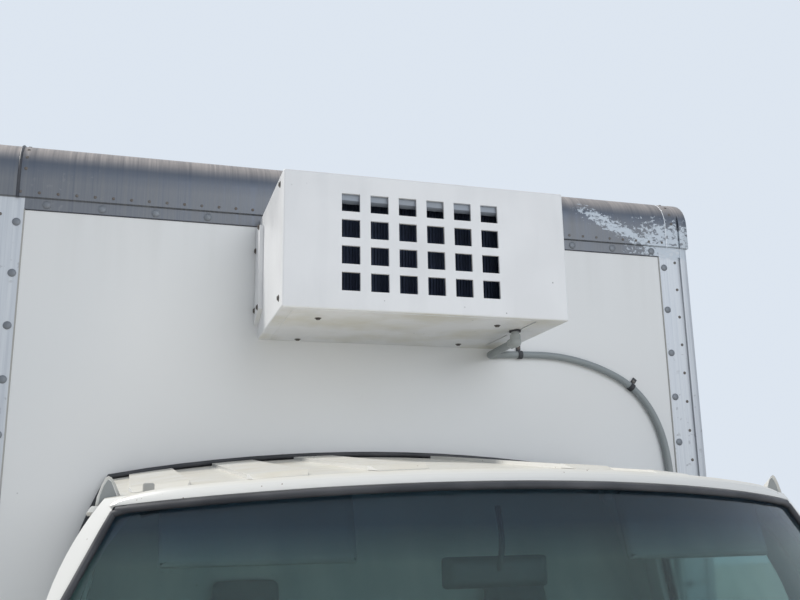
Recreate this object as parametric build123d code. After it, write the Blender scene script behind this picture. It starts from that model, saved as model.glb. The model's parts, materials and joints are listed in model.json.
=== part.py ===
"""Refrigerated box truck: a cutaway van cab on a ladder frame with twin rear wheels, an insulated box
body with rear swing doors, and a cooling unit hung on the box's front wall.

Units are millimetres. The origin is on the ground under the middle of the truck. +X is the driver's
side, +Y points to the rear and +Z is up, so the truck faces -Y.
"""
from build123d import *
import os
import math

# Wheels and axles
WHEELBASE = 4013.0
FRONT_OVERHANG = 737.0
TRACK_FRONT = 1765.0
TRACK_REAR = 1895.0
TWIN_SPACING = 250.0
TYRE_RADIUS = 372.0
TYRE_WIDTH = 214.0
RIM_SEAT_RADIUS = 203.0
RIM_WIDTH = 152.0
RIM_LIP = 17.0
RIM_LIP_SHEET = 8.0
RIM_SHEET = 8.0
RIM_WELL_DEPTH = 23.0
WHEEL_DISC = 10.0
HAND_HOLES = 8
HAND_HOLE_RADIUS = 18.0
HUB_RADIUS = 62.0
RUNNING_FIT = 0.06

# Cab and nose
CAB_LENGTH = 1473.0
CAB_WIDTH = 2016.0
CAB_BOTTOM = 400.0
CAB_TUCK = 23.0
CAB_TUCK_TOP = 720.0
CAB_SIDE = 60.0
CAB_ROOF_SHEET = 30.0
CAB_BACK_SHEET = 40.0
BELT = 1250.0
SHOULDER = (905.0, 1780.0)
ROOF_EDGE = (808.0, 2068.0)
ROOF_SIDE_BULGE = 12.0
ROOF_TOP = 2135.0
ROOF_FALL = 0.09
ROOF_RIBS = (220.0, 465.0, 700.0)
RIB_HALF = 60.0
RIB_RISE = 9.0
RIB_SETBACK = 120.0
SCREEN_BASE = (-147.0, 1290.0)
SCREEN_SLOPE = 0.671
SCREEN_RADIUS = 1405.0
SCREEN_FRAME = 45.0
SCREEN_RECESS = 60.0
GLASS = 6.0
COWL_TOP = 1225.0
COWL_SHEET = 20.0
COWL_LIP = 35.0
TUB_SHEET = 20.0
TUB_FLOOR = 715.0
FIREWALL = 150.0
COVER = (340.0, 640.0, 1090.0)
NOSE_SHEET = 35.0
HOOD_GAP = 6.0
DOOR_GAP = 8.0
DOOR_EDGE_FRONT = 440.0
DOOR_EDGE_REAR = 1330.0
DOOR_BOTTOM = 470.0
DOOR_TOP = 1950.0
ARCH_RADIUS = 420.0
ARCH_LIP = (24.0, 12.0)
HOOD_BULGE = (330.0, 14.0)

# Frame and running gear
FRAME_TOP = 740.0
FRAME_DROP = 110.0
RAIL_OUTER = 432.0
RAIL_FLANGE = 66.0
RAIL_DEPTH = 178.0
RAIL_SHEET = 8.0
KINGPIN_INSET = 95.0
KINGPIN_RADIUS = 13.0
STEER_ARM = 105.0
TIE_ROD_DROP = 110.0
TIE_ROD_STUD = 9.0
BEAM_LANE = 48.0
PIVOT_X = 250.0
PIVOT_RISE = 33.0
SPRING_OUT = 83.0
SPRING_SEAT = 606.0
LEAF_INNER = 43.0
LEAF_WIDTH = 70.0
ENGINE_CLEARANCE = 106.0
TANK_CLEARANCE = 21.0
EXHAUST_CLEARANCE = 46.0
EXHAUST_Z = 420.0
PLATE_HOLES = 177.8
STEER_X = 400.0
STEER_TILT = math.radians(30)

# Box body
CAB_GAP = 30.0
BOX_LENGTH = 4267.0
BOX_WIDTH = 2438.0
BOX_BOTTOM = 790.0
BOX_TOP = 3125.0
SIDE_WALL = 75.0
FRONT_WALL = 90.0
ROOF_PANEL = 90.0
CARGO_FLOOR = 915.0
FLOOR_PANEL = 60.0
CROSS_SILL = 75.0
STEP_DEPTH = 170.0
RAIL_STRIP_BOTTOM = 2890.0
RAIL_FACE_BOTTOM = 2925.0
RAIL_CURVE = 105.0
SKIN = 3.0
POST_INNER = 1114.0
POST_CORNER = 35.0
REAR_POST = 100.0
REAR_HEADER = 115.0
REAR_DOOR = 75.0
REAR_DOOR_GAP = 8.0
HINGE_OUT = 22.0
HINGE_BACK = 30.0

# Cooling unit
UNIT_X = (-386.0, 481.0)
UNIT_Z = (2509.0, 2913.0)
UNIT_DEPTH = 473.0
UNIT_SHEET = 8.0
VENT_FIRST = (-190.0, 2826.0)
VENT_PITCH = (85.0, 78.0)
VENT_SIDE = 54.0
VENT_COLUMNS = 6
VENT_ROWS = 4
CONDUIT_RADIUS = 12.0
CONDUIT_START = (372.0, 316.5, 2472.0)
UNIT_SLOTS = [(378.0, 55.0, 240.0), (384.0, 332.0, 446.0)]
SLOT_WIDTH = 7.0
CLIPS = [(520, 2490), (905, 2417), (1078, 2040), (1080, 1500), (1080, 900)]

# Places that follow from the sizes above
LENGTH = FRONT_OVERHANG + CAB_LENGTH + CAB_GAP + BOX_LENGTH + STEP_DEPTH
FA = FRONT_OVERHANG - LENGTH / 2
RA = FA + WHEELBASE
CAB_BACK = FA + CAB_LENGTH
BOX_FRONT = CAB_BACK + CAB_GAP
BOX_REAR = BOX_FRONT + BOX_LENGTH
WHEEL_Z = TYRE_RADIUS
HALF_BOX = BOX_WIDTH / 2
HALF_CAB = CAB_WIDTH / 2
RIM_X = RIM_WIDTH / 2
FAR = 4000.0
KINGPIN_X = TRACK_FRONT / 2 - KINGPIN_INSET
TIE_ROD_Z = WHEEL_Z - TIE_ROD_DROP
PIVOT_Z = WHEEL_Z + PIVOT_RISE
RAIL_INNER = RAIL_OUTER - RAIL_FLANGE
STEER_HUB = (FA + 760.0, 1235.0)

# Crossmembers: place along the truck, width along it, height, and drop below the rail's middle
CROSSMEMBERS = [(FA - 500, 90, 120, 0), (FA, 190, 90, 50), (FA + 1120, 90, 60, 50),
                (FA + 1900, 70, 140, 0), (FA + 2750, 70, 140, 0), (RA - 560, 70, 140, 0),
                (RA + 330, 70, 140, 0), (RA + 1350, 70, 140, 0)]


def block(x0, x1, y0, y1, z0, z1):
    """A box between two corners."""
    return Pos((x0 + x1) / 2, (y0 + y1) / 2, (z0 + z1) / 2) * Box(x1 - x0, y1 - y0, z1 - z0)


def rod(start, end, radius):
    """A round bar from one point to another."""
    axis = Vector(*end) - Vector(*start)
    return extrude(Plane(origin=start, z_dir=axis) * Circle(radius), amount=axis.length)


def outline(steps):
    """A closed face through 3-D points. A step is a point, or a pair: a point on an arc and its end."""
    edges = []
    last = steps[0]
    for step in steps[1:] + [steps[0]]:
        if isinstance(step[0], tuple):
            edges.append(Edge.make_three_point_arc(last, step[0], step[1]))
            last = step[1]
        else:
            if (Vector(*step) - Vector(*last)).length > 1e-6:
                edges.append(Edge.make_line(last, step))
            last = step
    return Face(Wire(edges))


def lifted(steps, place):
    """The same steps with each 2-D point put in space by place(a, b)."""
    result = []
    for step in steps:
        if isinstance(step[0], tuple):
            result.append((place(*step[0]), place(*step[1])))
        else:
            result.append(place(*step))
    return result


def prism_x(steps, x0, x1):
    """Side-view steps (y, z) extruded across the truck."""
    return extrude(outline(lifted(steps, lambda y, z: (x0, y, z))), amount=x1 - x0, dir=(1, 0, 0))


def prism_y(steps, y0, y1):
    """Front-view steps (x, z) extruded along the truck."""
    return extrude(outline(lifted(steps, lambda x, z: (x, y0, z))), amount=y1 - y0, dir=(0, 1, 0))


def prism_z(steps, z0, z1):
    """Plan steps (x, y) extruded upwards."""
    return extrude(outline(lifted(steps, lambda x, y: (x, y, z0))), amount=z1 - z0, dir=(0, 0, 1))


def turned_x(steps, y, z):
    """Steps (x, radius) turned round a wheel's axis."""
    face = outline(lifted(steps, lambda x, r: (x, y, z + r)))
    return revolve(face, axis=Axis((0, y, z), (1, 0, 0)), revolution_arc=360)


def mirrored_x(shape):
    return mirror(shape, about=Plane.YZ)


def pair(shape):
    """A piece and its mirror image on the other side of the truck."""
    return shape + mirrored_x(shape)


def cab_section(y, side, roof):
    """The cab's outline across the truck at y, moved in by side at the walls and by roof at the top."""
    drop = roof + ROOF_FALL * (CAB_BACK - y)
    low = (HALF_CAB - CAB_TUCK - side, y, CAB_BOTTOM)
    tuck = (HALF_CAB - side, y, CAB_TUCK_TOP)
    belt = (HALF_CAB - side, y, BELT)
    shoulder = (SHOULDER[0] - side, y, SHOULDER[1])
    edge = (ROOF_EDGE[0] - side, y, ROOF_EDGE[1] - drop)
    middle = (Vector(*shoulder) + Vector(*edge)) / 2
    bulge = (middle.X + ROOF_SIDE_BULGE, y, middle.Z + ROOF_SIDE_BULGE / 2)
    top = (0, y, ROOF_TOP - drop)
    flip = lambda p: (-p[0], p[1], p[2])
    steps = [low, tuck, belt, shoulder, (bulge, edge), (top, flip(edge)), (flip(bulge), flip(shoulder)),
             flip(belt), flip(tuck), flip(low)]
    return outline(steps)


def cab_form(side, roof, back, front=FA - 250.0):
    """The cab's full form from the back of the cab to ahead of the windscreen, with nothing cut."""
    return loft([cab_section(CAB_BACK - back, side, roof), cab_section(front, side, roof)], ruled=True)


def behind_screen(inset):
    """All that lies behind the windscreen's outer surface moved back by inset."""
    low = 300.0
    high = 2400.0
    centre = FA + SCREEN_BASE[0] + inset - (SCREEN_BASE[1] - low) * SCREEN_SLOPE
    radius = SCREEN_RADIUS
    half = 1200.0
    edge = centre + radius - math.sqrt(radius ** 2 - half ** 2)
    back = centre + FAR
    face = outline([(-half, edge, low), ((0, centre, low), (half, edge, low)), (half, back, low),
                    (-half, back, low)])
    rise = Vector(0, SCREEN_SLOPE, 1)
    return extrude(face, amount=(high - low) * rise.length, dir=rise)


def roof_split():
    """All that lies above the joint between the cab's pillars and its roof."""
    side = DOOR_TOP + DOOR_GAP
    return prism_y([(-1100, side - 32), ((0, side + 40), (1100, side - 32)), (1100, 2400), (-1100, 2400)],
                   FA - 600, CAB_BACK + 1)


def door_steps(gap):
    """The cab door's outline in side view, moved out by gap."""
    front = FA + DOOR_EDGE_FRONT - gap
    rear = FA + DOOR_EDGE_REAR + gap
    low = DOOR_BOTTOM - gap
    high = DOOR_TOP + gap
    return [(front, low), (front, BELT), (front + 162, 1780), (front + 222, high), (rear - 24, high),
            (rear, BELT), (rear, low)]


def window_steps():
    """The cab door's window in side view."""
    front = FA + DOOR_EDGE_FRONT
    rear = FA + DOOR_EDGE_REAR
    return [(front + 90, 1290), (front + 232, 1760), (front + 280, 1900), (rear - 90, 1900),
            (rear - 70, 1290)]


def screen_steps():
    """The windscreen opening in front view."""
    return [(-975, 1300), (-883, 1780), (-789, 1971), ((0, 2008), (789, 1971)), (883, 1780), (975, 1300),
            ((0, 1288), (-975, 1300))]


def cab_hollow():
    """The space inside the cab's walls, roof, windscreen frame and back panel."""
    inside = cab_form(CAB_SIDE, CAB_ROOF_SHEET, CAB_BACK_SHEET) & behind_screen(SCREEN_FRAME)
    return inside


def cab_walls():
    """Pillars, sills, windscreen frame, back panel and roof in one shell, before they are split."""
    shell = (cab_form(0, 0, 0) & behind_screen(0)) - cab_hollow()
    lower_front = block(-1200, 1200, FA - 900, FA + DOOR_EDGE_FRONT - DOOR_GAP, 300, COWL_TOP)
    shell -= lower_front
    for side in (1, -1):
        shell -= prism_x(door_steps(DOOR_GAP), side * 600, side * 1200)
    shell -= prism_y(screen_steps(), FA - 600, FA + 700) - behind_screen(SCREEN_RECESS)
    return shell


def cab_shell(walls):
    """Door pillars, sills and back panel, with the cowl plate that carries the windscreen frame."""
    shell = walls - roof_split()
    shell -= cab_form(CAB_SIDE, 0, 0) & block(-1200, 1200, FA - 900, CAB_BACK + 1, 300, TUB_FLOOR - TUB_SHEET)
    plate = block(-1200, 1200, FA - 500, FA + FIREWALL, COWL_TOP - COWL_SHEET, COWL_TOP)
    return shell + (plate & cab_form(0, 0, 0) & behind_screen(-COWL_LIP))


def cab_roof(walls):
    """The roof panel with its header, drip rails and stamped ribs."""
    roof = walls & roof_split()
    raised = (cab_form(0, -RIB_RISE, 0) & behind_screen(RIB_SETBACK)) - cab_form(0, CAB_ROOF_SHEET / 2, -1)
    for centre in ROOF_RIBS:
        rib = block(centre - RIB_HALF, centre + RIB_HALF, FA, CAB_BACK - 60, 1900, 2300) & raised
        roof += pair(rib)
    drip = cab_form(-12, 0, 0) - cab_form(CAB_SIDE / 2, 0, -1)
    roof += drip & block(-1200, 1200, FA + 600, CAB_BACK, 1962, 1974)
    return roof & roof_split()


def windscreen():
    pane = (behind_screen(GLASS) - behind_screen(2 * GLASS)) & prism_y(screen_steps(), FA - 600, FA + 700)
    return pane & cab_form(0, 0, 0)


def door_body(side):
    """A cab door with its window cut out, and the mirror that it carries on two arms."""
    form = cab_form(0, 0, 0) - cab_form(CAB_SIDE, CAB_ROOF_SHEET, -1)
    door = form & prism_x(door_steps(0), side * 500, side * 1200)
    door -= prism_x(window_steps(), side * 500, side * 1200)
    mirror_y = FA + DOOR_EDGE_FRONT + 85
    back_curve = ((side * 1185, mirror_y - 45), (side * 1280, mirror_y + 20))
    head = prism_z([(side * 1095, mirror_y + 40), back_curve, (side * 1280, mirror_y + 50),
                    (side * 1095, mirror_y + 50)], 1330, 1640)
    for height in (1352, 1200):
        door += rod((side * 985, mirror_y + 20, height - 60), (side * 1130, mirror_y + 25, height + 20), 13)
    post = rod((side * 1130, mirror_y + 25, 1210), (side * 1130, mirror_y + 25, 1340), 13)
    handle_y = FA + DOOR_EDGE_REAR - 100
    handle = block(side * HALF_CAB - 14, side * HALF_CAB + 14, handle_y - 60, handle_y + 60, 1090, 1130)
    return door - handle + post + head


def door_glass(side):
    form = cab_form(24, 0, 0) - cab_form(24 + GLASS, 0, -1)
    return form & prism_x(window_steps(), side * 500, side * 1200)


def cab_floor():
    """The pressed tub of floor, firewall and wheel boxes, and the cover that lifts off over the engine."""
    sheet = TUB_SHEET
    floor_top = TUB_FLOOR
    firewall = FA + FIREWALL
    wheel_back = FA + 470.0
    wheel_in = 525.0
    wheel_top = 800.0
    cover = (COVER[0], FA + COVER[1], COVER[2])
    half = HALF_CAB - CAB_SIDE
    tub = block(-half, half, firewall - sheet, CAB_BACK - CAB_BACK_SHEET, floor_top - sheet,
                COWL_TOP - COWL_SHEET)
    room = block(-half + sheet, half - sheet, firewall, CAB_BACK, floor_top, COWL_TOP)
    room += block(-half - 1, half + 1, FA + DOOR_EDGE_FRONT - DOOR_GAP, CAB_BACK, floor_top, COWL_TOP)
    for side in (1, -1):
        room -= block(*sorted((side * wheel_in, side * 1200)), FA, wheel_back, 600, wheel_top)
    room -= block(-cover[0], cover[0], FA, cover[1], 600, cover[2])
    tub -= room
    for side in (1, -1):
        near = wheel_in + sheet
        tub -= block(*sorted((side * near, side * 1200)), FA, wheel_back - sheet, 600, wheel_top - sheet)
    tub -= block(-cover[0] + sheet, cover[0] - sheet, FA, cover[1] - sheet, 600, cover[2] - sheet)
    tub = tub & cab_form(CAB_SIDE, 0, 0)
    over_engine = block(-cover[0], cover[0], FA, cover[1], 600, cover[2])
    engine_cover = tub & over_engine
    tub -= over_engine
    for y in (FA + 560, CAB_BACK - 180):
        tub += pair(block(RAIL_INNER + 8, RAIL_OUTER - 8, y - 35, y + 35, rail_top_at(y), floor_top - sheet))
    return tub, engine_cover


def rail_top_at(y):
    """The height of the frame rail's top at y."""
    start = CAB_BACK - 60
    end = CAB_BACK + 260
    share = min(1, max(0, (y - start) / (end - start)))
    return FRAME_TOP - FRAME_DROP * (1 - share)


def rail_steps(inset, y0, y1):
    start = CAB_BACK - 60
    end = CAB_BACK + 260
    top = FRAME_TOP - inset
    low = FRAME_TOP - RAIL_DEPTH + inset
    return [(y0, low - FRAME_DROP), (y0, top - FRAME_DROP), (start, top - FRAME_DROP), (end, top), (y1, top),
            (y1, low), (end, low), (start, low - FRAME_DROP)]


def frame_rails():
    y0 = FA - 560
    y1 = BOX_REAR - 40
    rail = prism_x(rail_steps(0, y0, y1), RAIL_INNER, RAIL_OUTER)
    rail -= prism_x(rail_steps(RAIL_SHEET, y0 - 1, y1 + 1), RAIL_INNER - 1, RAIL_OUTER - RAIL_SHEET)
    return pair(rail)


def crossmembers():
    half = RAIL_OUTER - RAIL_SHEET
    bars = None
    for y, width, height, drop in CROSSMEMBERS:
        middle = rail_top_at(y) - RAIL_DEPTH / 2 - drop
        bar = block(-half, half, y - width / 2, y + width / 2, middle - height / 2, middle + height / 2)
        if drop:
            rail_low = rail_top_at(y) - RAIL_DEPTH + RAIL_SHEET
            bar -= pair(block(RAIL_INNER, RAIL_OUTER, y - width, y + width, 300, rail_low))
        else:
            bar -= block(-half + 40, half - 40, y - width / 2 + 8, y + width, middle - height / 2 + 8,
                         middle + height / 2 - 8)
        if y == FA:
            for side in (1, -1):
                for edge in (-36, 36):
                    fork = FA - side * BEAM_LANE + edge
                    pivot = -side * PIVOT_X
                    bar += block(pivot - 35, pivot + 35, fork - 6, fork + 6, PIVOT_Z - 35, middle)
        bars = bar if bars is None else bars + bar
    return bars


def nose_section(y, half, top, shoulder, inset):
    """The nose's outline across the truck at y."""
    low = 430.0
    x = half - inset
    z = top - inset
    cut = shoulder * 0.29
    arc_mid = (x - cut, y, z - 22 - cut)
    inner = (x - shoulder, y, z - 22)
    flip = lambda p: (-p[0], p[1], p[2])
    steps = [(x, y, low), (x, y, z - 22 - shoulder), (arc_mid, inner), ((0, y, z), flip(inner)),
             (flip(arc_mid), (-x, y, z - 22 - shoulder)), (-x, y, low)]
    return outline(steps)


def nose_form(inset):
    """The form of fenders and hood. It is rounded in plan at its front."""
    back = FA + DOOR_EDGE_FRONT - DOOR_GAP
    top = COWL_TOP - COWL_SHEET
    sections = [nose_section(back, HALF_CAB, top, 14, inset),
                nose_section(FA - 200, HALF_CAB, top, 70, inset),
                nose_section(FA - 640, HALF_CAB - 20, top - 205, 120, inset)]
    form = loft(sections, ruled=True)
    side = HALF_CAB + 10 - inset
    front = FA - 625 + inset
    plan = [(-side, back), (-side, front + 190), ((-side + 45, front + 95), (-side + 130, front + 50)),
            ((0, front), (side - 130, front + 50)), ((side - 45, front + 95), (side, front + 190)),
            (side, back)]
    return form & prism_z(plan, 300, 1500)


def hood_region(gap):
    """All that lies over the hood's outline, moved out by gap. Its rear edge follows the windscreen."""
    half = 800.0 + gap
    rear = FA - 250.0 + gap
    sag = SCREEN_RADIUS - math.sqrt(SCREEN_RADIUS ** 2 - half ** 2)
    rear_curve = ((0, rear), (half, rear + sag))
    region = prism_z([(-half, FA - 900), (-half, rear + sag), rear_curve, (half, FA - 900)],
                     700, 1500)
    low = 955.0 - gap
    return region & prism_x([(FA - 900, low), (FA - 500, low), (FA - 200, 1100 - gap), (FA + 300, 1100 - gap),
                             (FA + 300, 1500), (FA - 900, 1500)], -1200, 1200)


def nose_parts():
    shell = nose_form(0) - nose_form(NOSE_SHEET)
    bulge_half, bulge_rise = HOOD_BULGE
    bulge = nose_form(-bulge_rise) - nose_form(NOSE_SHEET / 2)
    bulge &= block(-bulge_half, bulge_half, FA - 540, FA - 270, 960, 1500)
    hood = (shell & hood_region(0)) + bulge
    fenders = shell - hood_region(HOOD_GAP)
    fenders -= block(-806, 806, FA - 900, FA + 900, 1080, 1500)
    fenders -= block(-880, 880, FA - 900, FA - 380, 300, 955 - HOOD_GAP)
    fenders -= block(-930, 930, FA - 380, FA + 900, 300, 1000)
    fenders -= block(-1200, 1200, FA - 900, FA - 440, 300, 640)
    inside = HALF_CAB - CAB_SIDE
    fenders -= block(-inside, inside, FA + FIREWALL - TUB_SHEET, FA + 900, 300, 1500)
    lip_width, lip_out = ARCH_LIP
    lip_x = HALF_CAB + lip_out
    lips = rod((-lip_x, FA, WHEEL_Z), (lip_x, FA, WHEEL_Z), ARCH_RADIUS + lip_width)
    lips -= block(-HALF_CAB + NOSE_SHEET, HALF_CAB - NOSE_SHEET, FA - 900, FA + 900, 0, 1500)
    lips &= block(-1200, 1200, FA - 900, FA + DOOR_EDGE_FRONT - 16, 430, 1500)
    fenders += lips - block(-1200, 1200, FA - 900, FA - 430, 300, 640)
    fenders -= rod((-1200, FA, WHEEL_Z), (1200, FA, WHEEL_Z), ARCH_RADIUS)
    return hood, fenders


def grille():
    """Radiator, its support, grille bars and headlamp housings as one front that stands on the rails."""
    front = FA - 570
    back = FA - 535
    half = 880.0
    low = 640.0
    high = 955.0 - HOOD_GAP
    frame = block(-half, half, front, back, low, high)
    frame -= block(-430, 430, front - 1, back + 1, low + 45, high - 45)
    for side in (1, -1):
        frame -= block(*sorted((side * 500, side * 800)), front - 1, back + 1, 700, 905)
    for row in range(4):
        z = low + 45 + (row + 1) * 44.0
        frame += block(-430, 430, front + 4, back - 6, z - 6, z + 6)
    for column in range(-4, 5):
        frame += block(column * 86 - 4, column * 86 + 4, front + 8, back - 6, low + 45, high - 45)
    rail_top = FRAME_TOP - FRAME_DROP
    legs = pair(block(RAIL_INNER, RAIL_OUTER, back - 10, back + 25, rail_top, 700))
    core = block(-RAIL_OUTER + 20, RAIL_OUTER - 20, FA - 470, FA - 410, rail_top, 945)
    core += block(-RAIL_OUTER + 5, RAIL_OUTER - 5, FA - 480, FA - 400, 890, 945)
    stays = pair(block(RAIL_OUTER - 60, RAIL_OUTER - 20, back - 1, FA - 470, 900, 930))
    return frame + legs + core + stays


def headlamps():
    """Headlamp blocks. They seat in the openings of the grille frame."""
    face = FA - 582
    steps = [(500, face), ((650, face - 10), (800, face)), (800, FA - 500), (500, FA - 500)]
    return pair(prism_z(steps, 700, 905))


def front_bumper():
    """A pressed steel bumper with wrapped ends on two brackets."""
    nose = FA - FRONT_OVERHANG
    outer = [(-985, FA - 470), ((-975, FA - 640), (-860, FA - 690)), ((0, nose), (860, FA - 690)),
             ((975, FA - 640), (985, FA - 470))]
    inner = [(965, FA - 470), ((955, FA - 625), (850, FA - 668)), ((0, nose + 22), (-850, FA - 668)),
             ((-955, FA - 625), (-965, FA - 470))]
    bar = prism_z(outer + inner, 420, 625)
    bar -= block(-250, 250, FA - 900, FA, 575, 640)
    top = FRAME_TOP - FRAME_DROP
    arms = pair(block(RAIL_INNER + 6, RAIL_OUTER, FA - 725, FA - 560, top - RAIL_DEPTH, top - 12))
    shape = prism_z(outer, 400, 700)
    bar += arms & shape
    plate_holes = [rod((side * PLATE_HOLES / 2, FA - 800, 500), (side * PLATE_HOLES / 2, FA - 600, 500), 4)
                   for side in (1, -1)]
    for hole in plate_holes:
        bar -= hole
    return bar


def dashboard():
    """Dashboard with the steering column. It sits on the firewall and over the engine's cover."""
    steps = [(FA + 150, 960), (FA + 320, 960), (FA + 425, 1100), ((FA + 440, 1180), (FA + 415, 1245)),
             (FA + 150, 1245)]
    body = prism_x(steps, -925, 925)
    body -= block(-COVER[0], COVER[0], FA, FA + COVER[1], 600, COVER[2])
    upper = body & block(-1200, 1200, FA, FA + 900, COWL_TOP, 1400)
    body = body - upper + (upper & cab_hollow())
    column_end = steering_point(-52)
    column = rod(steering_point(-500), column_end, 34)
    shaft = rod(column_end, steering_point(20), 11)
    return body + column + shaft


def steering_point(along):
    """A point on the steering column's axis, measured towards the driver from the steering wheel's hub."""
    return (STEER_X, STEER_HUB[0] + along * math.cos(STEER_TILT), STEER_HUB[1] + along * math.sin(STEER_TILT))


def steering_wheel():
    axis = (0, math.cos(STEER_TILT), math.sin(STEER_TILT))
    plane = Plane(origin=steering_point(0), z_dir=axis, x_dir=(1, 0, 0))
    rim = plane * Torus(190, 15)
    hub = plane * Pos(0, 0, -15) * Cylinder(60, 70)
    wheel = rim + hub
    for angle in (0, 180, 270):
        wheel += plane * Rot(0, 0, angle) * Pos(115, 0, -8) * Box(150, 34, 16)
    bore = rod(steering_point(-60), steering_point(21), 11 + RUNNING_FIT)
    return wheel - bore


def seats():
    """Two bucket seats on plain plinths. Each is one closed solid."""
    seat = block(190, 650, FA + 860, FA + 1300, 715, 860)
    cushion = prism_x([(FA + 790, 900), ((FA + 780, 960), (FA + 820, 985)), (FA + 1290, 965),
                       (FA + 1330, 860), (FA + 830, 860)], 170, 670)
    rest = prism_x([(FA + 1240, 960), (FA + 1360, 1590), ((FA + 1400, 1620), (FA + 1425, 1580)),
                    (FA + 1340, 940), (FA + 1270, 900)], 170, 670)
    head = prism_x([(FA + 1345, 1560), (FA + 1365, 1770), ((FA + 1395, 1800), (FA + 1420, 1765)),
                    (FA + 1415, 1560)], 290, 550)
    return pair(seat + cushion + rest + head)


def engine_block():
    """The engine as one plain block on its mounts, with the gearbox behind it."""
    half = RAIL_INNER - ENGINE_CLEARANCE
    engine = block(-half, half, FA - 250, FA + 560, 545, 1040)
    mounts = block(-RAIL_OUTER + RAIL_SHEET, RAIL_OUTER - RAIL_SHEET, FA + 120, FA + 200, 545, 605)
    low = 521.0
    wide = half - 50
    ends = [(FA + 560, wide, 670.0), (FA + 1180, 90.0, 640.0)]
    bell = loft([outline([(-x, y, low), (x, y, low), (x, y, high), (-x, y, high)]) for y, x, high in ends],
                ruled=True)
    flange = rod((0, FA + 1180, 560), (0, FA + 1260, 560), 55)
    return engine + mounts + bell + flange


def drive_axle():
    """Rear axle, springs, brake plates and the two-piece propeller shaft, bolted up as one."""
    tube_end = TRACK_REAR / 2 - 185
    axle = rod((-tube_end, RA, WHEEL_Z), (tube_end, RA, WHEEL_Z), 52)
    profile = [(-170, 0), (-170, 70), ((-120, 165), (0, 185)), ((120, 165), (170, 70)), (170, 0)]
    axle += turned_x(profile, RA, WHEEL_Z)
    axle += rod((0, RA - 270, WHEEL_Z + 25), (0, RA, WHEEL_Z + 25), 68)
    for side in (1, -1):
        spindle_end = TRACK_REAR / 2 + 30
        axle += rod((side * tube_end, RA, WHEEL_Z), (side * spindle_end, RA, WHEEL_Z), 34)
        axle += rod((side * (tube_end - 14), RA, WHEEL_Z), (side * tube_end, RA, WHEEL_Z), 150)
    axle -= pair(rod((TRACK_REAR / 2 - 180, RA, WHEEL_Z), (TRACK_REAR / 2 + 100, RA, WHEEL_Z), 100)
                 - rod((TRACK_REAR / 2 - 180, RA, WHEEL_Z), (TRACK_REAR / 2 + 100, RA, WHEEL_Z), 34))
    shaft_start = (0, FA + 1300, 560)
    joint = (0, RA - 1380, 505)
    shaft_end = (0, RA - 300, WHEEL_Z + 25)
    shaft = rod((0, FA + 1260, 560), shaft_start, 40) + rod(shaft_start, joint, 40)
    shaft += rod(joint, shaft_end, 40) + rod(shaft_end, (0, RA - 270, WHEEL_Z + 25), 48)
    for point in (shaft_start, joint, shaft_end):
        shaft += Pos(*point) * Sphere(40)
    bearing_z = rail_top_at(FA + 2750) - RAIL_DEPTH / 2 - 70
    shaft += block(-75, 75, FA + 2720, FA + 2780, 430, bearing_z)
    springs = None
    for side in (1, -1):
        spring = leaf_spring(side)
        springs = spring if springs is None else springs + spring
    return axle + shaft + springs


def leaf_spring(side):
    """A leaf spring pack with its eyes, saddle, U-bolts and frame hangers."""
    x0 = side * (RAIL_OUTER + LEAF_INNER)
    x1 = x0 + side * LEAF_WIDTH
    seat = WHEEL_Z + 52
    reach = 660.0
    eye = 560.0
    steps = [(RA - reach, eye - 14), ((RA, seat), (RA + reach, eye - 14)), (RA + reach, eye + 14),
             (RA + 430, eye - 45), ((RA, seat + 72), (RA - 430, eye - 45)), (RA - reach, eye + 14)]
    spring = prism_x(steps, x0, x1)
    spring += block(min(x0, x1) - 8, max(x0, x1) + 8, RA - 75, RA + 75, WHEEL_Z + 30, seat + 90)
    for end in (-1, 1):
        y = RA + end * reach
        spring += rod((x0 - side * 10, y, eye), (x1 + side * 10, y, eye), 26)
        round_end = ((y, eye - 34), (y + 30, eye - 15))
        hanger = prism_x([(y - 45, 700), (y - 30, eye - 15), round_end, (y + 45, 700)],
                         side * RAIL_OUTER, x0)
        spring += hanger
    return spring


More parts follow.
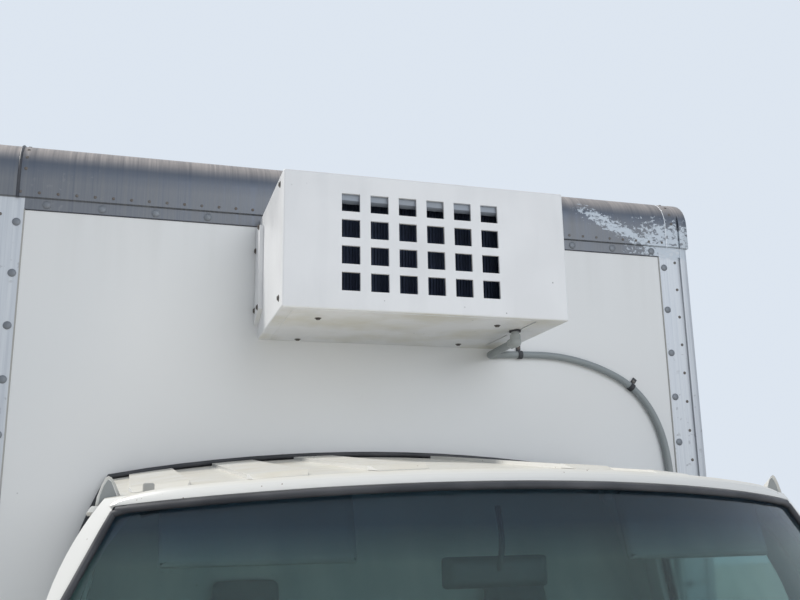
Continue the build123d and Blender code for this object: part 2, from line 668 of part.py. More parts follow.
def front_axle():
    """Twin front beams that cross under the engine, each with its radius arm, spring and damper."""
    end = KINGPIN_X
    straight = end - 147.5
    crossing = end - 367.5
    neck = end - 87.5
    drop = end - 227.5
    top = WHEEL_Z - 2
    low = WHEEL_Z - 82
    far = PIVOT_X + 28
    spring_x = RAIL_OUTER + SPRING_OUT
    sides = None
    for sx in (1, -1):
        lane = FA - sx * BEAM_LANE
        plan = [(sx * (end + 5), FA - 30), (sx * (end + 5), FA + 30), (sx * straight, FA + 34),
                (sx * crossing, lane + 30), (-sx * far, lane + 30), (-sx * far, lane - 30),
                (sx * crossing, lane - 30), (sx * straight, FA - 34)]
        front = [(sx * (end + 10), WHEEL_Z - 34), (sx * (end + 10), WHEEL_Z + 34), (sx * neck, WHEEL_Z + 30),
                 (sx * drop, top), (-sx * (far - 98), top), (-sx * far, PIVOT_Z + 25),
                 (-sx * far, PIVOT_Z - 25), (-sx * (far - 118), low), (sx * drop, low),
                 (sx * neck, WHEEL_Z - 30)]
        beam = prism_z(plan, low - 40, PIVOT_Z + 95) & prism_y(front, FA - 200, FA + 200)
        web_front = [(sx * (drop - 30), low + 16), (sx * (drop - 30), top - 16),
                     (-sx * (far - 138), top - 16), (-sx * (far - 138), low + 16)]
        beam -= prism_y(web_front, lane - 40, lane - 10) + prism_y(web_front, lane + 10, lane + 40)
        beam += rod((sx * end, FA, WHEEL_Z - 34), (sx * end, FA, WHEEL_Z + 34), 32)
        beam -= rod((sx * end, FA, WHEEL_Z - 60), (sx * end, FA, WHEEL_Z + 60), KINGPIN_RADIUS + RUNNING_FIT)
        beam += rod((-sx * PIVOT_X, lane - 30, PIVOT_Z), (-sx * PIVOT_X, lane + 30, PIVOT_Z), 28)
        arm = rod((sx * (spring_x + 30), FA + 10, WHEEL_Z - 42), (sx * (RAIL_OUTER + 30), FA + 760, 470), 22)
        arm += block(*sorted((sx * RAIL_OUTER, sx * (RAIL_OUTER + 68))), FA + 730, FA + 790, 440, 600)
        tower = block(*sorted((sx * RAIL_OUTER, sx * (spring_x + 65))), FA - 62, FA + 62, SPRING_SEAT - 1,
                      SPRING_SEAT + 22)
        beam += arm + spring_column(sx * spring_x, FA) + tower
        sides = beam if sides is None else sides + beam
    return sides


def spring_column(x, y):
    """A coil spring as a stack of rounded turns round its damper."""
    low = WHEEL_Z - 12
    high = SPRING_SEAT
    turns = 6
    pitch = (high - low) / turns
    steps = [(0, low), (52, low)]
    for turn in range(turns):
        z = low + turn * pitch
        steps += [((62, z + pitch * 0.35), (52, z + pitch * 0.7)), (34, z + pitch * 0.85), (52, z + pitch)]
    steps[-1] = (52, high)
    steps.append((0, high))
    face = outline(lifted(steps, lambda r, z: (x + r, y, z)))
    return revolve(face, axis=Axis((x, y, 0), (0, 0, 1)), revolution_arc=360)


def knuckle(side):
    """A steering knuckle: a yoke round the beam's eye, the kingpin, the spindle and the steering arm."""
    kingpin = side * KINGPIN_X
    yoke = prism_y([(kingpin - side * 38, WHEEL_Z + 36), (kingpin - side * 38, WHEEL_Z + 58),
                    (kingpin + side * 60, WHEEL_Z + 62), (kingpin + side * 60, WHEEL_Z - 62),
                    (kingpin - side * 38, WHEEL_Z - 58), (kingpin - side * 38, WHEEL_Z - 36),
                    (kingpin + side * 40, WHEEL_Z - 36), (kingpin + side * 40, WHEEL_Z + 36)],
                   FA - 36, FA + 36)
    yoke += rod((kingpin, FA, WHEEL_Z - 75), (kingpin, FA, WHEEL_Z + 75), KINGPIN_RADIUS)
    yoke += rod((kingpin + side * 60, FA, WHEEL_Z), (kingpin + side * 60 + side * 120, FA, WHEEL_Z), 24)
    arm_y = FA + STEER_ARM
    play = RUNNING_FIT if side > 0 else 2.0
    arm = prism_x([(FA - 20, WHEEL_Z - 58), (FA + 30, WHEEL_Z - 58), (arm_y - 40, TIE_ROD_Z + 38),
                   (arm_y - 40, TIE_ROD_Z + 20), (FA - 20, TIE_ROD_Z + 40)], kingpin - 15, kingpin + 15)
    arm += rod((kingpin, arm_y, TIE_ROD_Z + 18), (kingpin, arm_y, TIE_ROD_Z + 40), 22)
    arm += block(kingpin - 15, kingpin + 15, arm_y - 45, arm_y, TIE_ROD_Z + 20, TIE_ROD_Z + 38)
    arm += rod((kingpin, FA, WHEEL_Z - 80), (kingpin, FA, WHEEL_Z - 58), 36)
    arm -= rod((kingpin, arm_y, TIE_ROD_Z), (kingpin, arm_y, TIE_ROD_Z + 60), TIE_ROD_STUD + play)
    return yoke + arm


def tie_rod():
    """The tie rod with a ball stud at each end. The right stud has play, because it closes the linkage."""
    y = FA + STEER_ARM
    bar = rod((-KINGPIN_X, y, TIE_ROD_Z), (KINGPIN_X, y, TIE_ROD_Z), 12)
    for end in (KINGPIN_X, -KINGPIN_X):
        bar += rod((end, y, TIE_ROD_Z - 16), (end, y, TIE_ROD_Z + 12), 20)
        bar += rod((end, y, TIE_ROD_Z), (end, y, TIE_ROD_Z + 48), TIE_ROD_STUD)
    return bar


def rim_steps(out):
    """A wheel rim's section (x, radius) round a rim centred on 0. out is the side that its disc bulges to."""
    seat = RIM_SEAT_RADIUS
    well = seat - RIM_WELL_DEPTH
    lip = seat + RIM_LIP
    end = RIM_X + RIM_LIP_SHEET
    return [(-end, lip), (-RIM_X, lip), (-RIM_X, seat), (-42, seat), (-28, well), (28, well), (42, seat),
            (RIM_X, seat), (RIM_X, lip), (end, lip), (end, seat - RIM_SHEET), (45, seat - RIM_SHEET),
            (31, well - RIM_SHEET), (-31, well - RIM_SHEET), (-45, seat - RIM_SHEET),
            (-end, seat - RIM_SHEET)]


def wheel(centre, out):
    """A pressed steel wheel: rim, dished disc with hand holes. The disc's face is half a twin spacing out."""
    well = RIM_SEAT_RADIUS - RIM_WELL_DEPTH - RIM_SHEET
    face = TWIN_SPACING / 2
    rim = turned_x(lifted(rim_steps(out), lambda x, r: (centre + x, r)), FA, WHEEL_Z)
    disc = [(face - WHEEL_DISC, 44), (face - WHEEL_DISC, 112), (face - 45, 132), (10, well), (26, well),
            (face - 33, 140), (face, 118), (face, 44)]
    dish = turned_x([(centre + out * x, r) for x, r in disc], FA, WHEEL_Z)
    for hole in range(HAND_HOLES):
        angle = 2 * math.pi * hole / HAND_HOLES
        y = FA + 146 * math.cos(angle)
        z = WHEEL_Z + 146 * math.sin(angle)
        dish -= rod((centre - 200, y, z), (centre + 200, y, z), HAND_HOLE_RADIUS)
    return rim + dish


def tyre(centre):
    """A tyre with a flat tread, rounded shoulders and beads that seat on the rim."""
    seat = RIM_SEAT_RADIUS
    half = TYRE_WIDTH / 2
    outer = TYRE_RADIUS
    widest = seat + (outer - seat) * 0.475
    wall = 15.0
    tread = half - 24
    bead = seat + RIM_LIP
    steps = [(RIM_X, seat), (RIM_X, bead + 2), ((half, widest), (half - 8, outer - 28)),
             ((half - 12, outer - 8), (tread, outer)), (-tread, outer),
             ((-half + 12, outer - 8), (-half + 8, outer - 28)), ((-half, widest), (-RIM_X, bead + 2)),
             (-RIM_X, seat), (-RIM_X + wall, seat), (-RIM_X + wall, bead + 4),
             ((-half + wall, widest + 2), (-half + 8 + wall, outer - 30)), (half - 8 - wall, outer - 30),
             ((half - wall, widest + 2), (RIM_X - wall, bead + 4)), (RIM_X - wall, seat)]
    return turned_x(lifted(steps, lambda x, r: (centre + x, r)), FA, WHEEL_Z)


def front_wheel(side):
    """A front wheel with its hub and brake disc, bored for the spindle."""
    centre = side * TRACK_FRONT / 2
    kingpin = side * KINGPIN_X
    body = wheel(centre, side)
    face = centre + side * TWIN_SPACING / 2
    start = kingpin + side * 66
    body += rod((start, FA, WHEEL_Z), (face + side * 38, FA, WHEEL_Z), HUB_RADIUS)
    body += rod((start + side * 12, FA, WHEEL_Z), (start + side * 40, FA, WHEEL_Z), 155)
    body -= rod((start - side, FA, WHEEL_Z), (kingpin + side * 186, FA, WHEEL_Z), 24 + RUNNING_FIT)
    return body


def rear_wheels(side):
    """Twin rear wheels, disc to disc, on one hub with its brake drum."""
    centre = side * TRACK_REAR / 2
    pair_body = wheel(centre - side * TWIN_SPACING / 2, side) + wheel(centre + side * TWIN_SPACING / 2, -side)
    inner = centre - side * 170
    pair_body += rod((inner, FA, WHEEL_Z), (centre + side * 90, FA, WHEEL_Z), HUB_RADIUS)
    pair_body += rod((inner, FA, WHEEL_Z), (inner + side * 95, FA, WHEEL_Z), 160)
    pair_body -= rod((inner - side, FA, WHEEL_Z), (centre + side * 36, FA, WHEEL_Z), 34 + RUNNING_FIT)
    return Pos(0, WHEELBASE, 0) * pair_body


def rear_tyres(side):
    centre = side * TRACK_REAR / 2
    return Pos(0, WHEELBASE, 0) * (tyre(centre - TWIN_SPACING / 2) + tyre(centre + TWIN_SPACING / 2))


def exhaust():
    """Exhaust pipe, silencer and side outlet ahead of the right rear wheels."""
    z = EXHAUST_Z
    x = EXHAUST_CLEARANCE - RAIL_INNER
    start = (ENGINE_CLEARANCE - RAIL_INNER, FA + 330, 600)
    path = FilletPolyline(start, (x, FA + 330, 600), (x, FA + 520, z), (x, FA + 2900, z),
                          (-1120, RA - 620, z - 20), radius=[45, 90, 200])
    pipe = sweep(Plane(origin=path @ 0, z_dir=path % 0) * Circle(30), path=path)
    muffler = rod((x, FA + 1980, z), (x, FA + 2480, z), 95)
    return pipe + muffler


def fuel_tank():
    """Fuel tank between the rails behind the rear axle, with its two straps."""
    wide = RAIL_INNER - TANK_CLEARANCE
    tank = block(-wide, wide, RA + 430, RA + 1230, 420, 700)
    edges = tank.edges().filter_by(Axis.Y)
    tank = fillet(edges, 60)
    half = RAIL_OUTER - RAIL_SHEET
    for y in (RA + 600, RA + 1060):
        tank += block(-half, half, y - 25, y + 25, 694, 706)
        band = block(-wide - 6, wide + 6, y - 25, y + 25, 414, 706)
        strap = band - block(-wide, wide, y - 26, y + 26, 420, 700)
        tank += strap & fillet(band.edges().filter_by(Axis.Y), 64)
    return tank


def cargo_floor():
    """Insulated floor on its cross sills and the two spacers on the frame rails."""
    half = HALF_BOX - SIDE_WALL
    y0 = BOX_FRONT + FRONT_WALL
    y1 = BOX_REAR - REAR_POST
    floor = block(-half, half, y0, y1, CARGO_FLOOR - FLOOR_PANEL, CARGO_FLOOR)
    low = CARGO_FLOOR - FLOOR_PANEL - CROSS_SILL
    floor += pair(block(RAIL_INNER, RAIL_OUTER, y0, y1, FRAME_TOP, low))
    count = 11
    pitch = (y1 - y0 - 80) / (count - 1)
    for sill in range(count):
        y = y0 + 40 + sill * pitch
        over_wheel = abs(y - RA) < 300
        reach = 600 if over_wheel else half
        floor += block(-reach, reach, y - 22, y + 22, low, CARGO_FLOOR - FLOOR_PANEL)
    return floor


def front_wall():
    half = HALF_BOX - SIDE_WALL
    return block(-half, half, BOX_FRONT, BOX_FRONT + FRONT_WALL, BOX_BOTTOM, BOX_TOP - ROOF_PANEL)


def side_walls():
    return pair(block(HALF_BOX - SIDE_WALL, HALF_BOX, BOX_FRONT + POST_CORNER, BOX_REAR - REAR_POST,
                      BOX_BOTTOM, BOX_TOP - ROOF_PANEL))


def box_roof():
    """Roof panel with its side top rails."""
    low = BOX_TOP - ROOF_PANEL
    steps = [(-HALF_BOX, low), (-HALF_BOX, BOX_TOP - 30),
             ((-HALF_BOX + 8, BOX_TOP - 14), (-HALF_BOX + 26, BOX_TOP - 8)),
             ((0, BOX_TOP), (HALF_BOX - 26, BOX_TOP - 8)),
             ((HALF_BOX - 8, BOX_TOP - 14), (HALF_BOX, BOX_TOP - 30)), (HALF_BOX, low)]
    return prism_y(steps, BOX_FRONT + RAIL_CURVE, BOX_REAR - REAR_POST)


def front_frame():
    """The aluminium front frame: curved roof rail with end caps, and the two corner posts."""
    low = BOX_TOP - ROOF_PANEL
    y = BOX_FRONT
    curve = RAIL_CURVE
    steps = [(y, RAIL_STRIP_BOTTOM), (y - SKIN, RAIL_STRIP_BOTTOM), (y - SKIN, RAIL_FACE_BOTTOM),
             (y - SKIN - 6, RAIL_FACE_BOTTOM + 4), (y - SKIN - 6, BOX_TOP - curve),
             ((y - SKIN - 6 + curve * 0.29, BOX_TOP - curve * 0.29), (y + curve - SKIN - 6, BOX_TOP)),
             (y + curve, BOX_TOP), (y + curve, low), (y, low)]
    rail = prism_x(steps, -HALF_BOX, HALF_BOX)
    rail += pair(block(HALF_BOX - SIDE_WALL, HALF_BOX, y, y + POST_CORNER, RAIL_STRIP_BOTTOM, low))
    wall = HALF_BOX - SIDE_WALL
    post = [(POST_INNER, y), (POST_INNER, y - SKIN), (HALF_BOX + SKIN - POST_CORNER, y - SKIN),
            ((HALF_BOX + SKIN - POST_CORNER * 0.29, y - SKIN + POST_CORNER * 0.29),
             (HALF_BOX + SKIN, y - SKIN + POST_CORNER)),
            (HALF_BOX + SKIN, y + 110), (HALF_BOX, y + 110), (HALF_BOX, y + POST_CORNER),
            (wall, y + POST_CORNER), (wall, y)]
    posts = pair(prism_z(post, BOX_BOTTOM, RAIL_STRIP_BOTTOM))
    wide = HALF_BOX + SKIN
    corner = prism_z([(-wide, y + 300), (-wide, y + 32), ((-wide + 9, y + 6), (-wide + 34, y - 14)),
                      (wide - 34, y - 14), ((wide - 9, y + 6), (wide, y + 32)), (wide, y + 300)],
                     RAIL_STRIP_BOTTOM - 10, BOX_TOP + 10)
    return (rail & corner) + posts


def rear_frame():
    """Steel rear frame: posts, header and sill, with the drip cap and four hinge butts a side."""
    y0 = BOX_REAR - REAR_POST
    frame = block(-HALF_BOX, HALF_BOX, y0, BOX_REAR, BOX_BOTTOM, BOX_TOP)
    frame -= block(-HALF_BOX + REAR_POST, HALF_BOX - REAR_POST, y0 - 1, BOX_REAR + 1, CARGO_FLOOR,
                   BOX_TOP - REAR_HEADER)
    frame += block(-HALF_BOX, HALF_BOX, BOX_REAR, BOX_REAR + 14, BOX_TOP - 50, BOX_TOP - 42)
    return frame


def rear_door(side):
    """A rear swing door with hinge straps, lock rod, rod brackets and handle."""
    inner = 8.0
    outer = HALF_BOX - REAR_POST - REAR_DOOR_GAP
    low = CARGO_FLOOR + REAR_DOOR_GAP
    high = BOX_TOP - REAR_HEADER - REAR_DOOR_GAP
    door = block(*sorted((side * inner, side * outer)), BOX_REAR - REAR_DOOR, BOX_REAR, low, high)
    hinge = (side * (HALF_BOX + HINGE_OUT), BOX_REAR + HINGE_BACK)
    for z in hinge_heights():
        reach = outer - 190
        strap = prism_z([(side * reach, BOX_REAR), (side * reach, BOX_REAR + 10), (hinge[0], BOX_REAR + 10),
                         (hinge[0], BOX_REAR + 2), (side * outer, BOX_REAR + 2), (side * outer, BOX_REAR)],
                        z - 32, z + 32)
        strap += block(*sorted((hinge[0] - side * 6, hinge[0])), BOX_REAR + 2, hinge[1], z - 32, z + 32)
        strap += rod((hinge[0], hinge[1], z - 32), (hinge[0], hinge[1], z + 32), 13)
        strap -= rod((hinge[0], hinge[1], z - 40), (hinge[0], hinge[1], z + 40), 6 + RUNNING_FIT)
        door += strap
    rod_x = side * 210
    door += rod((rod_x, BOX_REAR + 24, low + 6), (rod_x, BOX_REAR + 24, high - 6), 13)
    for z in (low + 30, low + 420, 1750, 2350, high - 30):
        door += block(rod_x - 38, rod_x + 38, BOX_REAR, BOX_REAR + 24, z - 22, z + 22)
    handle = block(*sorted((rod_x, rod_x + side * 330)), BOX_REAR + 16, BOX_REAR + 34, 1296, 1324)
    keeper = block(*sorted((rod_x + side * 250, rod_x + side * 290)), BOX_REAR, BOX_REAR + 18, 1285, 1335)
    return door + handle + keeper


def hinge_heights():
    low = CARGO_FLOOR + 160
    high = BOX_TOP - REAR_HEADER - 160
    return [low + (high - low) * step / 3 for step in range(4)]


def hinge_pins():
    """Butts on the rear posts with the pins that carry the rear doors."""
    pins = None
    for side in (1, -1):
        x = side * (HALF_BOX + HINGE_OUT)
        for z in hinge_heights():
            pin = rod((x, BOX_REAR + HINGE_BACK, z - 62), (x, BOX_REAR + HINGE_BACK, z + 62), 6)
            for end in (-1, 1):
                centre = z + end * 48
                axis_y = BOX_REAR + HINGE_BACK
                pin += rod((x, axis_y, centre - 13), (x, axis_y, centre + 13), 13)
                plan = [(side * HALF_BOX, BOX_REAR - 70), (side * HALF_BOX, BOX_REAR - 30),
                        (x - side * 4, BOX_REAR + HINGE_BACK), (x + side * 6, BOX_REAR + HINGE_BACK),
                        (x + side * 6, BOX_REAR - 30), (side * (HALF_BOX + 8), BOX_REAR - 70)]
                ear = prism_z(plan, centre - 13, centre + 13)
                pin += ear
            pins = pin if pins is None else pins + pin
    return pins


def rear_bumper():
    """Step bumper with a tread plate on two arms from the frame rails."""
    y0 = BOX_REAR + 15
    y1 = BOX_REAR + STEP_DEPTH
    step = block(-1080, 1080, y0, y1, 470, 580) - block(-1070, 1070, y0 - 1, y1 - 10, 470 - 1, 570)
    step += block(-1080, 1080, y0, y0 + 10, 470, 580)
    for side in (1, -1):
        x0 = min(side * (RAIL_OUTER - 60), side * (RAIL_OUTER - 8))
        x1 = max(side * (RAIL_OUTER - 60), side * (RAIL_OUTER - 8))
        low = FRAME_TOP - RAIL_DEPTH + RAIL_SHEET
        step += prism_x([(BOX_REAR - 180, low), (BOX_REAR - 180, FRAME_TOP - RAIL_SHEET),
                         (BOX_REAR - 60, FRAME_TOP - RAIL_SHEET), (BOX_REAR + 15, 580), (BOX_REAR + 15, 480),
                         (BOX_REAR - 38, 480), (BOX_REAR - 38, low)], x0, x1)
    for side in (1, -1):
        step -= rod((side * PLATE_HOLES / 2, y1 - 30, 525), (side * PLATE_HOLES / 2, y1 + 30, 525), 4)
    return step


def all_lamps():
    """Headlamps, the round lamps on the rear sill and the marker lamps on the rear header."""
    lamps = None
    rows = [(1000, 845, 45), (870, 845, 45), (1130, 3045, 18), (160, 3045, 18)]
    for x, z, radius in rows:
        for side in (1, -1):
            lamp = rod((side * x, BOX_REAR, z), (side * x, BOX_REAR + 12, z), radius)
            lamps = lamp if lamps is None else lamps + lamp
    lamps += rod((0, BOX_REAR, 3045), (0, BOX_REAR + 12, 3045), 18)
    return lamps + headlamps()


def condenser_cover():
    """The cooling unit's folded sheet cover with its grid of square vents."""
    x0, x1 = UNIT_X
    z0, z1 = UNIT_Z
    front = BOX_FRONT - UNIT_DEPTH
    cover = block(x0, x1, front, BOX_FRONT, z0, z1)
    folds = cover.edges().filter_by(Axis.Y) + cover.faces().sort_by(Axis.Y)[0].edges()
    cover = fillet(folds, UNIT_SHEET - 2)
    sheet = UNIT_SHEET
    cover -= block(x0 + sheet, x1 - sheet, front + sheet, BOX_FRONT + 1, z0 + sheet, z1 - sheet)
    cover -= block(x0 - 1, x1 + 1, BOX_FRONT - SKIN, BOX_FRONT + 1, RAIL_STRIP_BOTTOM, z1 + 1)
    for row in range(VENT_ROWS):
        for column in range(VENT_COLUMNS):
            x = VENT_FIRST[0] + column * VENT_PITCH[0]
            z = VENT_FIRST[1] - row * VENT_PITCH[1]
            half = VENT_SIDE / 2
            cover -= block(x - half, x + half, front - 1, front + sheet + 1, z - half, z + half)
    return cover - unit_slots(SLOT_WIDTH)


def unit_slots(width):
    """The slots in the cooling unit's underside, as cutters."""
    slots = None
    for x, near, far in UNIT_SLOTS:
        slot = block(x - width / 2, x + width / 2, BOX_FRONT - far, BOX_FRONT - near, UNIT_Z[0] - 1,
                     UNIT_Z[0] + UNIT_SHEET + 30)
        slots = slot if slots is None else slots + slot
    return slots


def condenser_core():
    """Condenser coil, fan ring and compressor tray inside the cover."""
    x0, x1 = UNIT_X
    z0, z1 = UNIT_Z
    front = BOX_FRONT - UNIT_DEPTH
    core = block(x0 + 30, x1 - 30, front + 70, front + 130, z0 + UNIT_SHEET, z1 - 30)
    core += block(x0 + 30, x1 - 30, front + 130, BOX_FRONT, z0 + UNIT_SHEET, z0 + UNIT_SHEET + 20)
    for x in (-150, 245):
        core += rod((x, front + 130, 2710), (x, front + 220, 2710), 150)
        core -= rod((x, front + 135, 2710), (x, front + 221, 2710), 140)
        core += rod((x, front + 130, 2710), (x, front + 210, 2710), 45)
        for blade in range(5):
            turn = Pos(x, front + 172, 2710) * Rot(0, 72 * blade, 0)
            core += turn * Pos(86, 0, 0) * Rot(28, 0, 0) * Box(100, 3, 62)
    return core - unit_slots(SLOT_WIDTH + 20)


def evaporator():
    """Ceiling evaporator behind the front wall."""
    y0 = BOX_FRONT + FRONT_WALL
    top = BOX_TOP - ROOF_PANEL
    steps = [(y0, top), (y0, top - 190), (y0 + 420, top - 190), (y0 + 560, top - 60), (y0 + 560, top)]
    case = prism_x(steps, -520, 520)
    for x in (-260, 0, 260):
        case -= rod((x, y0 + 210, top - 195), (x, y0 + 210, top - 150), 105)
        case += rod((x, y0 + 210, top - 190), (x, y0 + 210, top - 150), 40)
    return case


def conduit():
    """The cable conduit from the cooling unit to the frame, with its fitting, wall clips and junction box."""
    y = BOX_FRONT - CONDUIT_RADIUS - 2
    x, out, z = CONDUIT_START
    start = BOX_FRONT - out
    route = [(x, start, z), (404, y, 2482), (508, y, 2490), (667, y, 2492), (820, y, 2458), (954, y, 2393),
             (1035, y, 2290), (1074, y, 2160), (1080, y, 1960), (1080, y, 700), (1080, BOX_FRONT + 330, 700)]
    radii = [42, 300, 300, 300, 200, 220, 400, 600, 60]
    path = FilletPolyline(*route, radius=radii)
    tube = sweep(Plane(origin=path @ 0, z_dir=path % 0) * Circle(CONDUIT_RADIUS), path=path)
    fitting = rod((x, start, z), (x, start, UNIT_Z[0]), 13) + Pos(x, start, z) * Sphere(18.5)
    fitting += rod((x, start, UNIT_Z[0] - 8), (x, start, UNIT_Z[0]), 18)
    fitting += rod((x, start, z), path @ (45 / path.length), 17)
    box = block(1020, 1140, BOX_FRONT + 330, BOX_FRONT + 450, 650, 780)
    clips = None
    for x, z in CLIPS:
        clip = block(x - 9, x + 9, y - 17, BOX_FRONT, z - 17, z + 17)
        clips = clip if clips is None else clips + clip
    return tube + fitting + box + clips


def main():
    os.makedirs("parts", exist_ok=True)
    walls = cab_walls()
    hood_panel, fenders = nose_parts()
    floor_tub, engine_cover = cab_floor()
    pieces = {
        "cab_shell": cab_shell(walls),
        "cab_roof": cab_roof(walls),
        "windscreen": windscreen(),
        "cab_floor": floor_tub,
        "engine_cover": engine_cover,
        "cab_door_left": door_body(1),
        "cab_door_right": door_body(-1),
        "door_glass_left": door_glass(1),
        "door_glass_right": door_glass(-1),
        "dashboard": dashboard(),
        "seats": seats(),
        "steering_wheel": steering_wheel(),
        "hood": hood_panel,
        "front_fenders": fenders,
        "grille": grille(),
        "front_bumper": front_bumper(),
        "frame_rails": frame_rails(),
        "crossmembers": crossmembers(),
        "engine_block": engine_block(),
        "exhaust": exhaust(),
        "fuel_tank": fuel_tank(),
        "front_axle": front_axle(),
        "drive_axle": drive_axle(),
        "knuckle_left": knuckle(1),
        "knuckle_right": knuckle(-1),
        "tie_rod": tie_rod(),
        "wheel_front_left": front_wheel(1),
        "wheel_front_right": front_wheel(-1),
        "tyre_front_left": tyre(TRACK_FRONT / 2),
        "tyre_front_right": tyre(-TRACK_FRONT / 2),
        "wheels_rear_left": rear_wheels(1),
        "wheels_rear_right": rear_wheels(-1),
        "tyres_rear_left": rear_tyres(1),
        "tyres_rear_right": rear_tyres(-1),
        "cargo_floor": cargo_floor(),
        "front_wall": front_wall(),
        "side_walls": side_walls(),
        "box_roof": box_roof(),
        "front_frame": front_frame(),
        "rear_frame": rear_frame() + hinge_pins(),
        "rear_door_left": rear_door(1),
        "rear_door_right": rear_door(-1),
        "rear_bumper": rear_bumper(),
        "lamps": all_lamps(),
        "condenser_cover": condenser_cover(),
        "cooling_coils": condenser_core() + evaporator(),
        "conduit": conduit(),
    }
    for name, piece in pieces.items():
        export_step(piece, os.path.join("parts", name + ".step"))
        box = piece.bounding_box()
        corners = [round(v) for v in (*box.min, *box.max)]
        print(name, len(piece.solids()), round(piece.volume / 1e6, 2), corners)


main()
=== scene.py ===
# %% [markdown]
# A refrigerated box truck
#
# The truck is built from sheet metal, aluminium extrusions, laminate panels, glass and rubber. Its
# construction comes in as a fixed frame, one object for each real part, in metres, with +X on the
# driver's side, +Y to the rear and +Z up. This lesson gives each part its finish, and models the small
# things that make a truck look real: rivets, seals, bolts, tread, trim, seats and lamps.

# %% Load the frame
import json
import math

import bmesh
import bpy
from mathutils import Matrix, Vector


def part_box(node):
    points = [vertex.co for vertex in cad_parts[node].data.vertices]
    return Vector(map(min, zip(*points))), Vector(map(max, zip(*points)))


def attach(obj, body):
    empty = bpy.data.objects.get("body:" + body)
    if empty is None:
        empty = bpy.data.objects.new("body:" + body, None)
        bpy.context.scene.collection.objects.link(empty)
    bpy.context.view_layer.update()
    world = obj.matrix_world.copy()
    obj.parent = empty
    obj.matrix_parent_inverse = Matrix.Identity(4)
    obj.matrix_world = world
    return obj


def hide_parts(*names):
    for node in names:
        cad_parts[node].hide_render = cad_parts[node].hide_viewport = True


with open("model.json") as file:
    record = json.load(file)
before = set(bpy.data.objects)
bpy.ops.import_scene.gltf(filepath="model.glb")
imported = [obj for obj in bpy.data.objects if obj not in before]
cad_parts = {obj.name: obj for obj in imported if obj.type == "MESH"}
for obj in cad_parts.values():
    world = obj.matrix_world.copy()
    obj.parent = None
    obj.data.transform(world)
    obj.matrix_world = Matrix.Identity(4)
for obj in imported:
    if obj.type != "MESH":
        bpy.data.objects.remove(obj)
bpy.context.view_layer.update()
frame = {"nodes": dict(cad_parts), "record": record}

# %% [markdown]
# Places to measure from
#
# Every added piece sits on a real part, so its place is read from that part's box and not typed twice. A
# box is two corners, and the names below are the faces that the rest of the lesson measures from.

# %% Read the main faces from the frame
wall_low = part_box("front_wall")[0]
cover_low, cover_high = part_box("condenser_cover")
side_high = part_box("side_walls")[1]
rails_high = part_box("frame_rails")[1]
front_tyre_low, front_tyre_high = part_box("tyre_front_left")
rear_tyre_low, rear_tyre_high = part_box("tyres_rear_left")
FRONT_AXLE = (front_tyre_low.y + front_tyre_high.y) / 2
REAR_AXLE = (rear_tyre_low.y + rear_tyre_high.y) / 2
WHEEL_Z = (front_tyre_low.z + front_tyre_high.z) / 2
BOX_FRONT = wall_low.y
CAB_GAP = 0.03
CAB_BACK = BOX_FRONT - CAB_GAP
BOX_HALF = side_high.x
SKIN = 0.003
REAR_FRAME = 0.04
BOX_REAR = rails_high.y + REAR_FRAME
print("front wall at", round(BOX_FRONT, 3), "axles at", round(FRONT_AXLE, 3), round(REAR_AXLE, 3))

# %% [markdown]
# Camera first
#
# The picture was taken standing close to the nose and looking up past the windscreen. The lens looks
# slightly to the driver's side. A camera's own axes are the columns of its matrix: right, up and back,
# so three angles and a place are enough, and the roll turns right and up about the line of sight.

# %% Place the camera
VIEW_PLACE = Vector((-0.769, -3.9785, 1.935))
VIEW_YAW = math.radians(16.677)
VIEW_PITCH = math.radians(13.662)
VIEW_ROLL = math.radians(-0.912)
VIEW_LENS = 40.94


def place_camera():
    flat = math.cos(VIEW_PITCH)
    ahead = Vector((math.sin(VIEW_YAW) * flat, math.cos(VIEW_YAW) * flat, math.sin(VIEW_PITCH)))
    level = Vector((math.cos(VIEW_YAW), -math.sin(VIEW_YAW), 0))
    above = level.cross(ahead)
    right = level * math.cos(VIEW_ROLL) + above * math.sin(VIEW_ROLL)
    up = above * math.cos(VIEW_ROLL) - level * math.sin(VIEW_ROLL)
    camera = bpy.data.objects.new("view", bpy.data.cameras.new("view"))
    bpy.context.scene.collection.objects.link(camera)
    camera.matrix_world = Matrix((right, up, -ahead)).transposed().to_4x4()
    camera.location = VIEW_PLACE
    camera.data.lens = VIEW_LENS
    camera.data.sensor_width = 36.0
    camera.data.clip_start = 0.05
    bpy.context.scene.camera = camera
    return camera


camera = place_camera()
bpy.context.scene.view_settings.view_transform = "Standard"
print("camera", round(camera.data.lens, 1), "mm at", tuple(round(v, 2) for v in camera.location))

# %% [markdown]
# Working by selection
#
# Blender's operators act on what is selected. Loading left every part selected, so each step starts by
# clearing the selection. Faces are then picked in code, by where their centre is and where they look.

# %% Helpers for selecting, copying and handing over a piece


def only(piece):
    """Selects one object and nothing else."""
    bpy.ops.object.select_all(action="DESELECT")
    piece.select_set(True)
    bpy.context.view_layer.objects.active = piece
    return piece


def pick_faces(piece, wanted):
    """Opens edit mode with the faces selected whose centre and normal the test accepts."""
    only(piece)
    bpy.ops.object.mode_set(mode="EDIT")
    bpy.ops.mesh.select_mode(type="FACE")
    bpy.ops.mesh.select_all(action="DESELECT")
    mesh = bmesh.from_edit_mesh(piece.data)
    for face in mesh.faces:
        face.select_set(bool(wanted(face.calc_center_median(), face.normal)))
    bmesh.update_edit_mesh(piece.data)


def close_edit():
    bpy.ops.object.mode_set(mode="OBJECT")


# The truck's left side is +X, as for its driver.
UP, DOWN = (0, 0, 1), (0, 0, -1)
REARWARD, FORWARD = (0, 1, 0), (0, -1, 0)
LEFTWARD, RIGHTWARD = (1, 0, 0), (-1, 0, 0)
STRAIGHT = 0.9


